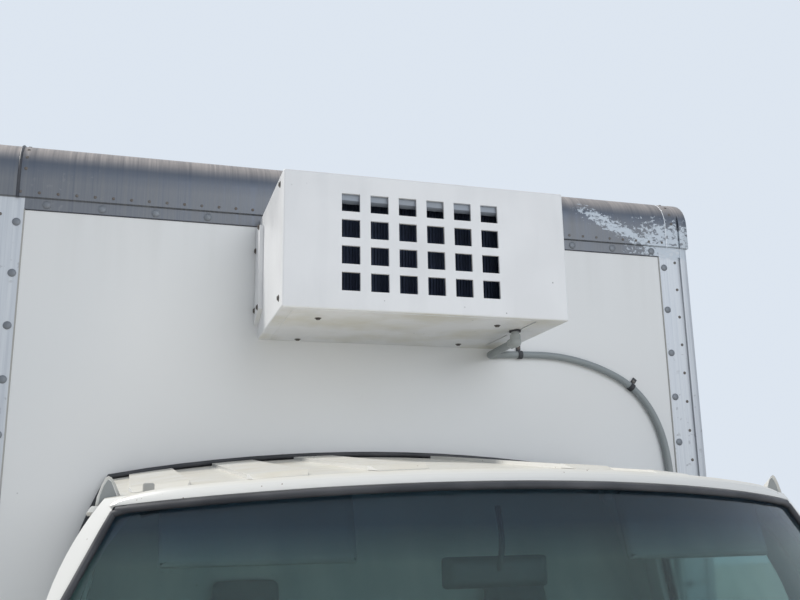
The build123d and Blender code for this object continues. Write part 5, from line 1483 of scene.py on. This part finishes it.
DOOR_FRONT = FRONT_AXLE + 0.44
DOOR_REAR = FRONT_AXLE + 1.33
WINDOW = [(DOOR_FRONT + 0.09, 1.29), (DOOR_FRONT + 0.232, 1.76), (DOOR_FRONT + 0.28, 1.90),
          (DOOR_REAR - 0.09, 1.90), (DOOR_REAR - 0.07, 1.29)]


def closed_line(corners, pieces):
    """Points along a closed outline, with each side cut into pieces."""
    line = []
    for start, end in zip(corners, corners[1:] + corners[:1]):
        line += [start.lerp(end, step / pieces) for step in range(pieces)]
    return line


def window_loop(inset, depth):
    """A closed line round the window, inset from its rim and depth inside the door's surface."""
    centre = Vector((sum(p[0] for p in WINDOW) / 5, sum(p[1] for p in WINDOW) / 5))
    corners = []
    for point in WINDOW:
        point = Vector(point)
        corners.append(point + (centre - point).normalized() * inset * 1.35)
    return [Vector((side_x(z) - depth, y, z)) for y, z in closed_line(corners, 6)]


seals = joined([tube(window_loop(0.005, 0.017), 0.0075, closed=True),
                tube(window_loop(0.005, 0.036), 0.0065, closed=True)])
trim = cuboid((0.932, DOOR_FRONT + 0.06, 0.735), (0.9475, DOOR_REAR - 0.06, 1.225), 0.006)
stepped(trim, RIGHTWARD, (0.035, -0.005))
rest_pad = cuboid((0.882, DOOR_FRONT + 0.26, 0.935), (0.938, DOOR_FRONT + 0.66, 0.985))
pick_side(rest_pad, DOWN)
bpy.ops.transform.translate(value=(0.018, 0, -0.02))
close_edit()
rounded(rest_pad, 0.01, 3)
pocket = cuboid((0.912, DOOR_FRONT + 0.10, 0.755), (0.936, DOOR_FRONT + 0.62, 0.865))
pick_side(pocket, UP)
bpy.ops.mesh.inset(thickness=0.004)
bpy.ops.mesh.extrude_region_move(TRANSFORM_OT_translate={"value": (0, 0, -0.09)})
close_edit()
trims = joined([trim, rest_pad, pocket])

# %% Cranks, speakers, handles, locks and mirror glasses
crank_disc = drum(0.026, 0.014, 24, (0.936, DOOR_FRONT + 0.36, 0.895), RIGHTWARD)
crank_arm = cuboid((0.914, DOOR_FRONT + 0.26, 0.886), (0.922, DOOR_FRONT + 0.37, 0.904), 0.003)
crank_knob = drum(0.011, 0.026, 16, (0.916, DOOR_FRONT + 0.268, 0.895), RIGHTWARD)
pull_cup = cuboid((0.928, DOOR_FRONT + 0.13, 1.055), (0.9385, DOOR_FRONT + 0.25, 1.105), 0.004)
pull_lever = cuboid((0.918, DOOR_FRONT + 0.15, 1.068), (0.929, DOOR_FRONT + 0.225, 1.092), 0.0035)
speaker = drum(0.074, 0.006, 36, (0.938, DOOR_FRONT + 0.72, 0.84), RIGHTWARD)
stepped(speaker, RIGHTWARD, *((0.0065, -0.0022 * (-1) ** groove) for groove in range(8)))
fittings = joined([crank_disc, crank_arm, crank_knob, pull_cup, pull_lever, speaker])
handle = cuboid((1.0, DOOR_REAR - 0.146, 1.101), (1.016, DOOR_REAR - 0.054, 1.121))
resized(handle, LEFTWARD, (1, 0.86, 0.62))
rounded(handle, 0.003)
lock = drum(0.0105, 0.004, 24, (1.0075, DOOR_REAR - 0.10, 1.062), LEFTWARD)
slot = cuboid((1.011, DOOR_REAR - 0.1012, 1.056), (1.0122, DOOR_REAR - 0.0988, 1.068))
MIRROR_BACK = FRONT_AXLE + 0.575
flat_glass = cuboid((1.104, MIRROR_BACK - 0.002, 1.425), (1.271, MIRROR_BACK + 0.0025, 1.631), 0.0015)
wide_glass = cuboid((1.104, MIRROR_BACK - 0.002, 1.339), (1.271, MIRROR_BACK + 0.0025, 1.414), 0.0015)
stepped(wide_glass, REARWARD, (0.012, 0.003))
mirror_rim = tube([(1.0965, MIRROR_BACK, 1.3315), (1.2785, MIRROR_BACK, 1.3315),
                   (1.2785, MIRROR_BACK, 1.6385), (1.0965, MIRROR_BACK, 1.6385)], 0.0034, closed=True)
clamps = [drum(0.019, 0.024, 20, (1.13, FRONT_AXLE + 0.55, z), UP) for z in (1.21, 1.36)]
feet = [cuboid((1.0, FRONT_AXLE + 0.515, 1.125), (1.012, FRONT_AXLE + 0.575, 1.180), 0.004),
        cuboid((0.985, FRONT_AXLE + 0.515, 1.268), (1.004, FRONT_AXLE + 0.575, 1.325), 0.004)]
mirror_parts = joined([mirror_rim] + clamps + feet)
pair_up([(seals, "glass_seal", "black_rubber"), (trims, "door_trim", "dash_plastic"),
         (fittings, "door_fittings", "black_rubber"), (handle, "door_handle", "black_rubber"),
         (joined([lock, slot]), "door_lock", "bright_steel"),
         (joined([flat_glass, wide_glass]), "mirror_glasses", "mirror_glass"),
         (mirror_parts, "mirror_fittings", "black_rubber")], "cab_door")

# %% [markdown]
# Nose
#
# The hood, grille, lamps and bumper can't be seen in the photo, so they follow what such a van cab
# has. Each headlamp is a bowl with a bright reflector under a clear ribbed lens. The wipers rest at
# the foot of the windscreen on a black cowl grille.

# %% Headlamps and turn lamps


def headlamp():
    """The reflector box, its bowl and the lens in front of it."""
    face = FRONT_AXLE - 0.582
    shell = cuboid((0.503, face + 0.012, 0.703), (0.797, face + 0.08, 0.902), 0.006)
    pick_side(shell, FORWARD)
    bpy.ops.mesh.inset(thickness=0.012)
    bpy.ops.mesh.extrude_region_move(TRANSFORM_OT_translate={"value": (0, 0.045, 0)})
    bpy.ops.transform.resize(value=(0.62, 1, 0.62))
    close_edit()
    bulb = drum(0.012, 0.028, 16, (0.65, face + 0.056, 0.8025), FORWARD)
    rows = []
    for step in range(29):
        share = step / 28
        x = 0.503 + 0.294 * share
        bow = 0.010 * (1 - (2 * share - 1) ** 2)
        ribs = 0.0012 * (step % 2)
        rows.append([(x, face - bow - ribs, z) for z in (0.703, 0.75, 0.8, 0.85, 0.902)])
    lens = skin(rows, 0.003)
    return joined([shell, bulb]), lens


bowl, lens = headlamp()
lamp_pieces = [hand_over(mirrored(bowl), "headlamp_bowls", "bright_steel"),
               hand_over(mirrored(lens), "headlamp_lenses", "clear_lens")]
turn_lamp = cuboid((0.812, FRONT_AXLE - 0.577, 0.715), (0.872, FRONT_AXLE - 0.568, 0.895), 0.003)
stepped(turn_lamp, FORWARD, (0.006, 0.004))
hand_over(mirrored(turn_lamp), "front_turn_lamps", "amber_lens")

# %% Wipers and cowl grille


def wiper(base_x, tip_x, tip_z):
    """A wiper: spindle cap, arm and a blade with its rubber."""
    foot = screen_point(base_x, 1.262, 0.018)
    tip = screen_point(tip_x, tip_z, 0.022)
    spindle = drum(0.016, 0.028, 18, foot + Vector((0, 0.012, -0.012)), (0, -0.6, 0.8))
    arm = tube([foot, foot.lerp(tip, 0.3) + Vector((0, -0.004, 0.002)), tip], 0.0052)
    first = screen_point(tip_x - 0.255, tip_z + 0.012 - 0.018)
    last = screen_point(tip_x + 0.255, tip_z + 0.020)
    line = [first.lerp(last, step / 8) for step in range(9)]
    line = [screen_point(p.x, p.z, 0.0105) for p in line]
    carrier = tube([p + Vector((0, -0.007, 0)) for p in line[1:-1]], 0.0042)
    rubber = tube(line, 0.0036)
    return joined([spindle, arm, carrier, rubber])


hand_over(joined([wiper(0.56, 0.22, 1.338), wiper(-0.18, -0.50, 1.338)]), "wipers", "black_rubber")


def cowl_grille():
    """A black strip with slots between the hood and the windscreen."""
    bars = []
    for step in range(38):
        x = -0.74 + 0.04 * step
        low = screen_point(x, 1.238, 0.045)
        high = screen_point(x, 1.262, 0.006)
        bars.append(tube([(x, low.y, 1.2285), (x, high.y, 1.2465)], 0.0045, sides=1))
    rows = [[screen_point(x, 1.238, out) + Vector((0, 0, lift)) for x in steps_from(-0.78, 0.078, 21)]
            for out, lift in ((0.052, -0.0135), (0.045, -0.010), (0.008, 0.006), (-0.004, 0.012))]
    return joined(bars + [skin(rows, 0.003)])


hand_over(cowl_grille(), "cowl_grille", "grille_plastic")
jet_y = screen_point(0.34, 1.238).y - 0.035
jets = [drum(0.007, 0.010, 12, (side * 0.34, jet_y, 1.233), (0, 0.3, 1)) for side in (-1, 1)]
hand_over(joined(jets), "washer_jets", "black_rubber")

# %% Radiator grille and bumper bolts
latch = cuboid((-0.05, FRONT_AXLE - 0.576, 0.908), (0.05, FRONT_AXLE - 0.556, 0.930), 0.004)
blades = [cuboid((-0.427, FRONT_AXLE - 0.571, z - 0.0022),
                 (0.427, FRONT_AXLE - 0.562, z + 0.0022), 0.0008, 1) for z in steps_from(0.70, 0.0315, 7)]
hand_over(joined(blades + [latch]), "grille_blades", "grille_plastic")
SURROUND = ((-0.436, 0.679), (0.436, 0.679), (0.436, 0.910), (-0.436, 0.910))
surround = tube([(x, FRONT_AXLE - 0.572, z) for x, z in SURROUND], 0.0055, closed=True)
hand_over(surround, "grille_surround", "bright_steel")
bumper_bolts = [facing((x, FRONT_AXLE - 0.737 + (x / 0.86) ** 2 * 0.047, 0.56), (x * 0.13, -1, 0))
                for x in (-0.33, -0.47, 0.33, 0.47)]
hand_over(spread(bolt_head(0.011, 0.007), bumper_bolts), "bumper_bolts", "grey_rivet")

# %% [markdown]
# Tyres and wheels
#
# A tyre is a section spun round its axle: flat tread with grooves, round shoulders, bulging walls with
# fine rings, and a bead. Blocks on the shoulders give the tread its bite. The tyres replace the plain
# ones of the CAD model and turn with the wheels. Each steel wheel gets eight nuts and a hub cap.

# %% Tyre section, walls and shoulder blocks
GROOVES = (0.022, 0.062)
GROOVE_DEPTH = 0.010
TYRE_RADIUS = 0.372
WALL = [(0.084, 0.3695), (0.0905, 0.364), (0.0965, 0.352), (0.099, 0.350), (0.1005, 0.344), (0.104, 0.325),
        (0.1052, 0.3245), (0.1065, 0.305), (0.107, 0.2835), (0.106, 0.265), (0.1045, 0.262), (0.101, 0.245),
        (0.097, 0.236), (0.0955, 0.237), (0.0855, 0.2225), (0.0755, 0.2215), (0.0755, 0.2035),
        (0.062, 0.2035)]
INNER_WALL = [(0.060, 0.210), (0.088, 0.245), (0.095, 0.283), (0.089, 0.325), (0.072, 0.350), (0.0, 0.357)]


def tyre_section():
    """Half of the tyre's section from the middle of the tread to its bead, as (x, radius)."""
    tread = [(0.0, TYRE_RADIUS)]
    for groove in GROOVES:
        top = TYRE_RADIUS - 0.16 * groove ** 2
        tread += [(groove - 0.005, top), (groove - 0.0035, top - GROOVE_DEPTH),
                  (groove + 0.0035, top - GROOVE_DEPTH), (groove + 0.005, top)]
    return tread + WALL


def tyre(centre, turns=90):
    """The tyre's closed section, spun round the axle."""
    outer = tyre_section()
    loop = [(-x, r) for x, r in reversed(outer[1:])] + outer + INNER_WALL
    loop += [(-x, r) for x, r in reversed(INNER_WALL[:-1])]
    x0, y0, z0 = centre
    loop.append(loop[0])
    rows = []
    for turn in range(turns):
        angle = 2 * math.pi * (turn + 0.5) / turns
        rows.append([(x0 + x, y0 + r * math.sin(angle), z0 - r * math.cos(angle)) for x, r in loop])
    piece = skin(rows, closed=True)
    pick_faces(piece, lambda middle, normal: True)
    bpy.ops.mesh.remove_doubles(threshold=0.00001)
    bpy.ops.mesh.normals_make_consistent(inside=False)
    close_edit()
    return piece


def shoulder_blocks(centre, count=56):
    """The bevelled blocks on both shoulders of the tread."""
    x0, y0, z0 = centre
    block = cuboid((0.0705, -0.0125, 0.3645), (0.0885, 0.0125, 0.3712))
    pick_side(block, LEFTWARD)
    bpy.ops.transform.translate(value=(0.004, 0, -0.006))
    close_edit()
    places = []
    for step in range(count):
        for side in (0, math.pi):
            turn = Matrix.Rotation(2 * math.pi * (step + 0.5 * (side > 0)) / count, 4, "X")
            places.append(Matrix.Translation((x0, y0, z0)) @ turn @ Matrix.Rotation(side, 4, "Z"))
    return spread(block, places)


FRONT_X = 0.8825
REAR_X = 0.9475
TWIN = 0.125

# %% Place the tyres, single in front and twin at the rear
for side, sign in (("left", 1), ("right", -1)):
    spot_front = (sign * FRONT_X, FRONT_AXLE, WHEEL_Z)
    piece = joined([tyre(spot_front), shoulder_blocks(spot_front)])
    hand_over(piece, f"tread_tyre_front_{side}", "tyre_rubber", f"wheel_front_{side}", 40)
    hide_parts(f"tyre_front_{side}")
    twins = []
    for place in (REAR_X - TWIN, REAR_X + TWIN):
        spot_rear = (sign * place, REAR_AXLE, WHEEL_Z)
        twins += [tyre(spot_rear), shoulder_blocks(spot_rear)]
    piece = joined(twins)
    hand_over(piece, f"tread_tyres_rear_{side}", "tyre_rubber", f"wheels_rear_{side}", 40)
    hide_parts(f"tyres_rear_{side}")

# %% Nuts and hub caps
NUT_CIRCLE = 0.0825


def wheel_trim(y, sign, face, hub_face):
    """Eight nuts on studs round the hub, and the hub's cap."""
    outwards = (sign, 0, 0)
    nut = joined([bolt_head(0.0105, 0.017), drum(0.0062, 0.026, 12)])
    places = []
    for step in range(8):
        angle = math.radians(22.5 + 45 * step)
        point = (sign * face, y + NUT_CIRCLE * math.cos(angle), WHEEL_Z + NUT_CIRCLE * math.sin(angle))
        places.append(facing(point, outwards, angle))
    nuts = spread(nut, places)
    cap = drum(0.044, 0.010, 32, (sign * (hub_face - 0.001), y, WHEEL_Z), outwards)
    return nuts, stepped(cap, outwards, (0.008, 0.005), (0.012, -0.003))


for side, sign in (("left", 1), ("right", -1)):
    for y, body, face, hub_face in ((FRONT_AXLE, "wheel_front", 1.0075, 1.0455),
                                    (REAR_AXLE, "wheels_rear", 0.9575, 1.0375)):
        nuts, cap = wheel_trim(y, sign, face, hub_face)
        hand_over(nuts, f"nuts_{body}_{side}", "dark_steel", f"{body}_{side}")
        hand_over(cap, f"cap_{body}_{side}", "galvanised", f"{body}_{side}")

# %% [markdown]
# Rear end
#
# Lorry doors close on black bulb seals. Their lock rods end in cams that catch keepers on the frame.
# The lamps are round ones in rubber rings, red for the tail and clear for reversing. The step is
# punched with rows of raised buttons for grip.

# %% Lamps at the rear


def round_lens(radius, x, z):
    """A round lens with a raised ring and a domed middle."""
    lens = drum(radius, 0.008, 32, (x, BOX_REAR, z), REARWARD)
    return stepped(lens, REARWARD, (radius * 0.12, 0.003), (radius * 0.25, 0.002), (radius * 0.25, 0.0008))


def ring(centre, direction, radius, thick, sides=28):
    """A round bar bent into a ring."""
    place = facing(centre, direction)
    points = []
    for step in range(sides):
        angle = 2 * math.pi * step / sides
        points.append(place @ Vector((radius * math.cos(angle), radius * math.sin(angle), 0)))
    return tube(points, thick, closed=True, sides=2)


TAIL = [(side * 1.0, 0.845, 0.041) for side in (-1, 1)]
REVERSE = [(side * 0.87, 0.845, 0.041) for side in (-1, 1)]
MARKERS = [(x, 3.045, 0.0155) for x in (-1.13, -0.16, 0.0, 0.16, 1.13)]
for spots, name, finish in ((TAIL + MARKERS, "tail_lenses", "lamp_lens"),
                            (REVERSE, "reverse_lenses", "clear_lens")):
    lenses = [round_lens(r, x, z) for x, z, r in spots]
    lamp_pieces.append(hand_over(joined(lenses), name, finish))
rings = [ring((x, BOX_REAR + 0.003, z), REARWARD, r + 0.002, 0.004) for x, z, r in TAIL + REVERSE + MARKERS]
lamp_pieces.append(hand_over(joined(rings), "lamp_rings", "black_rubber"))
for piece in lamp_pieces:
    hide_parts("lamps")

# %% Door seals, cams, keepers and rivets
DOOR_INNER = 0.008
DOOR_OUTER = BOX_HALF - 0.108
DOOR_LOW = 0.923
DOOR_HIGH = 3.002
ROD_X = 0.21
ROD_BEARINGS = (0.953, 1.343, 1.75, 2.35, 2.972)
HINGE_ROWS = (1.075, 1.6667, 2.2583, 2.85)
HINGE_BOLTS = (0.945, 0.985, 1.03, 1.075)


def door_seal():
    """A black bulb round the door, just inside its edge."""
    corners = [Vector((x, z)) for x, z in
               ((DOOR_INNER + 0.004, DOOR_LOW + 0.004), (DOOR_OUTER - 0.004, DOOR_LOW + 0.004),
                (DOOR_OUTER - 0.004, DOOR_HIGH - 0.004), (DOOR_INNER + 0.004, DOOR_HIGH - 0.004))]
    return tube([(p.x, BOX_REAR + 0.001, p.y) for p in closed_line(corners, 6)], 0.0055, closed=True)


def door_hardware():
    """Cams at both ends of the lock rod, bearing caps, a grip and its catch."""
    parts = []
    for z in (DOOR_LOW + 0.022, DOOR_HIGH - 0.022):
        parts.append(cuboid((ROD_X - 0.024, BOX_REAR + 0.014, z - 0.014),
                            (ROD_X + 0.024, BOX_REAR + 0.036, z + 0.014), 0.005))
    for z in ROD_BEARINGS:
        parts.append(drum(0.019, 0.030, 20, (ROD_X, BOX_REAR + 0.024, z - 0.015), UP))
    parts.append(drum(0.0165, 0.115, 20, (ROD_X + 0.205, BOX_REAR + 0.0265, 1.31), LEFTWARD))
    parts.append(cuboid((ROD_X + 0.245, BOX_REAR + 0.030, 1.288),
                        (ROD_X + 0.295, BOX_REAR + 0.042, 1.332), 0.004))
    return joined(parts)


def door_bolts():
    """Two rows of bolts on each hinge strap, and two bolts at each bearing of the lock rod."""
    places = []
    for z in HINGE_ROWS:
        places += [facing((x, BOX_REAR + 0.010, z + dz), REARWARD)
                   for x in HINGE_BOLTS for dz in (-0.017, 0.017)]
    for z in ROD_BEARINGS:
        places += [facing((ROD_X + dx, BOX_REAR + 0.024, z), REARWARD) for dx in (-0.029, 0.029)]
    return spread(bolt_head(0.0062, 0.005), places)


def door_rivets():
    """A frame of rivets round the door's face."""
    places = []
    for x in (DOOR_INNER + 0.028, DOOR_OUTER - 0.028):
        places += [facing((x, BOX_REAR, z), REARWARD) for z in steps_from(DOOR_LOW + 0.06, 0.131, 16)]
    for z in (DOOR_LOW + 0.028, DOOR_HIGH - 0.028):
        places += [facing((x, BOX_REAR, z), REARWARD) for x in steps_from(DOOR_INNER + 0.12, 0.131, 7)]
    return spread(rivet_head(0.0058, 0.0024, 10), places)


pair_up([(door_seal(), "rear_seal", "black_rubber"), (door_hardware(), "rear_cams", "galvanised"),
         (door_bolts(), "rear_bolts", "galvanised"), (door_rivets(), "rear_rivets", "grey_rivet")],
        "rear_door")
keepers = []
for z in (0.893, 3.018):
    keepers.append(cuboid((ROD_X - 0.036, BOX_REAR, z - 0.011),
                          (ROD_X + 0.036, BOX_REAR + 0.006, z + 0.011), 0.002))
    for x in (ROD_X - 0.032, ROD_X + 0.026):
        keepers.append(cuboid((x, BOX_REAR, z - 0.011), (x + 0.006, BOX_REAR + 0.034, z + 0.011), 0.002))
hand_over(mirrored(joined(keepers)), "rod_keepers", "galvanised")
buttons = [facing((x + 0.0175 * (row % 2), BOX_REAR + 0.035 + 0.03 * row, 0.58), UP)
           for row in range(5) for x in steps_from(-1.05, 0.035, 60)]
hand_over(spread(rivet_head(0.0085, 0.0042, 8), buttons), "step_buttons", "galvanised")

# %% [markdown]
# Box sides, roof and floor
#
# Aluminium rails cap the side panels at the roof and at the floor, each with its row of rivets. The
# roof sheet is one skin with bows under it, so faint cross seams show from above. The floor inside is
# ribbed for air flow, and the evaporator's fans have wire guards.

# %% Rails, rivets and roof seams
RAIL_START = BOX_FRONT + 0.112
RAIL_END = BOX_REAR - 0.002
RAIL_FACE = BOX_HALF + 0.0032
rails = [cuboid((BOX_HALF - 0.0005, RAIL_START, low), (RAIL_FACE, RAIL_END, high), 0.0008, 1)
         for low, high in ((3.028, 3.118), (0.792, 0.905))]
for rail in rails:
    stepped(rail, LEFTWARD, (0.02, 0.0022))
hand_over(mirrored(joined(rails)), "side_rails", "mill_aluminium")
side_places = []
for side in (-1, 1):
    for z in (3.037, 0.895, 0.801):
        side_places += [facing((side * RAIL_FACE, y, z), (side, 0, 0))
                        for y in steps_from(RAIL_START + 0.05, 0.1016, 40)]
hand_over(spread(rivet_head(0.0058, 0.0024, 8), side_places), "side_rivets", "grey_rivet")
seams = [cuboid((-BOX_HALF + 0.02, y - 0.012, 3.1245), (BOX_HALF - 0.02, y + 0.012, 3.1268), 0.0008, 1)
         for y in steps_from(BOX_FRONT + 0.61, 0.61, 6)]
hand_over(joined(seams), "roof_seams", "roof_sheet")

# %% Floor ribs, fan guards, coil fins, scuff plates and side markers
rib = cuboid((-0.0045, BOX_FRONT + 0.10, 0.9145), (0.0045, BOX_REAR - 0.115, 0.925), 0.0012, 1)
ribs = spread(rib, [Matrix.Translation((x, 0, 0)) for x in steps_from(-1.121, 0.038, 60)])
hand_over(ribs, "floor_ribs", "floor_aluminium")
guards = []
for x in (-0.26, 0.0, 0.26):
    centre = (x, BOX_FRONT + 0.30, 2.842)
    guards += [ring(centre, UP, radius, 0.0018, 24) for radius in (0.025, 0.05, 0.075, 0.1)]
    for spoke in range(4):
        angle = math.radians(45 * spoke)
        reach = Vector((math.cos(angle), math.sin(angle), 0)) * 0.108
        guards.append(tube([Vector(centre) - reach, Vector(centre) + reach], 0.0018, sides=1))
hand_over(joined(guards), "fan_guards", "galvanised")
fin = cuboid((-0.0006, cover_low.y + 0.062, 2.525), (0.0006, cover_low.y + 0.0705, 2.880))
fins = spread(fin, [Matrix.Translation((x, 0, 0)) for x in steps_from(-0.35, 0.0095, 84)])
hand_over(fins, "condenser_fins", "coil_aluminium")
scuff = cuboid((1.1405, BOX_FRONT + 0.10, 0.917), (1.1445, BOX_REAR - 0.115, 1.215), 0.001, 1)
hand_over(mirrored(scuff), "scuff_plates", "floor_aluminium")
for y, name, finish in ((BOX_FRONT + 0.25, "side_markers", "amber_lens"),
                        (BOX_REAR - 0.218, "rear_side_markers", "lamp_lens")):
    marker = cuboid((BOX_HALF + 0.005, y - 0.032, 0.832), (BOX_HALF + 0.018, y + 0.032, 0.866), 0.005)
    hand_over(mirrored(marker), name, finish)

# %% [markdown]
# Running gear
#
# Under the body, U-bolts clamp the leaf springs to the axle, dampers stand between axle and frame, and
# steel bands hold the fuel tank. Rubber flaps hang behind the rear wheels.

# %% U-bolts, dampers, tank bands and flaps
SPRING_IN = 0.461
SPRING_OUT = 0.559
BOLT_BEND = 0.009


def u_bolts():
    """Two U-bolts over the leaf spring, their nuts and the plate that they pull up."""
    arch = [(SPRING_IN, 0.292), (SPRING_IN, 0.512), (SPRING_IN + BOLT_BEND, 0.521),
            (SPRING_OUT - BOLT_BEND, 0.521), (SPRING_OUT, 0.512), (SPRING_OUT, 0.292)]
    parts = []
    for y in (REAR_AXLE - 0.058, REAR_AXLE + 0.058):
        parts.append(tube([(x, y, z) for x, z in arch], 0.0068))
        for x in (SPRING_IN, SPRING_OUT):
            parts.append(drum(0.012, 0.013, 6, (x, y, 0.286), UP))
    parts.append(cuboid((SPRING_IN - 0.016, REAR_AXLE - 0.08, 0.301),
                        (SPRING_OUT + 0.016, REAR_AXLE + 0.08, 0.312), 0.003))
    return joined(parts)


def damper(low, high):
    """A damper: wide lower body, dust tube, rod and two rubber eyes."""
    low, high = Vector(low), Vector(high)
    along = (high - low).normalized()
    length = (high - low).length
    parts = [drum(0.024, length * 0.55, 24, low + along * 0.02, along),
             drum(0.028, length * 0.42, 24, low + along * length * 0.5, along),
             drum(0.009, length, 14, low, along)]
    for end in (low, high):
        parts.append(drum(0.019, 0.036, 20, end - Vector((0.018, 0, 0)), LEFTWARD))
    return joined(parts)


hand_over(mirrored(u_bolts()), "u_bolts", "dark_steel")
dampers = damper((0.30, REAR_AXLE + 0.075, 0.40), (0.25, REAR_AXLE + 0.29, 0.63))
hand_over(mirrored(dampers), "dampers", "dark_steel")
tank_low, tank_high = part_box("fuel_tank")
BAND_GAP = 0.004
BAND_HALF = 0.02
bands = []
for y in (tank_low.y + 0.16, tank_high.y - 0.16):
    bands.append(cuboid((tank_low.x - BAND_GAP, y - BAND_HALF, tank_low.z - BAND_GAP),
                        (tank_high.x + BAND_GAP, y + BAND_HALF, tank_high.z + BAND_GAP), 0.02, 3))
hand_over(joined(bands), "tank_bands", "galvanised")


def flap():
    """A rubber sheet with a slight curve, in rows from its foot to its hanger."""
    rows = []
    for step in range(9):
        y = REAR_AXLE + 0.475 + 0.012 * math.sin(step * 0.35)
        rows.append([(x, y, 0.185 + 0.0556 * step) for x in (0.73, 0.84, 0.95, 1.06, 1.17)])
    return skin(rows, 0.006)


hanger = cuboid((0.71, REAR_AXLE + 0.470, 0.615), (1.185, REAR_AXLE + 0.495, 0.745), 0.003)
hand_over(mirrored(hanger), "flap_hangers", "chassis_black")
hand_over(mirrored(flap()), "mud_flaps", "black_rubber")
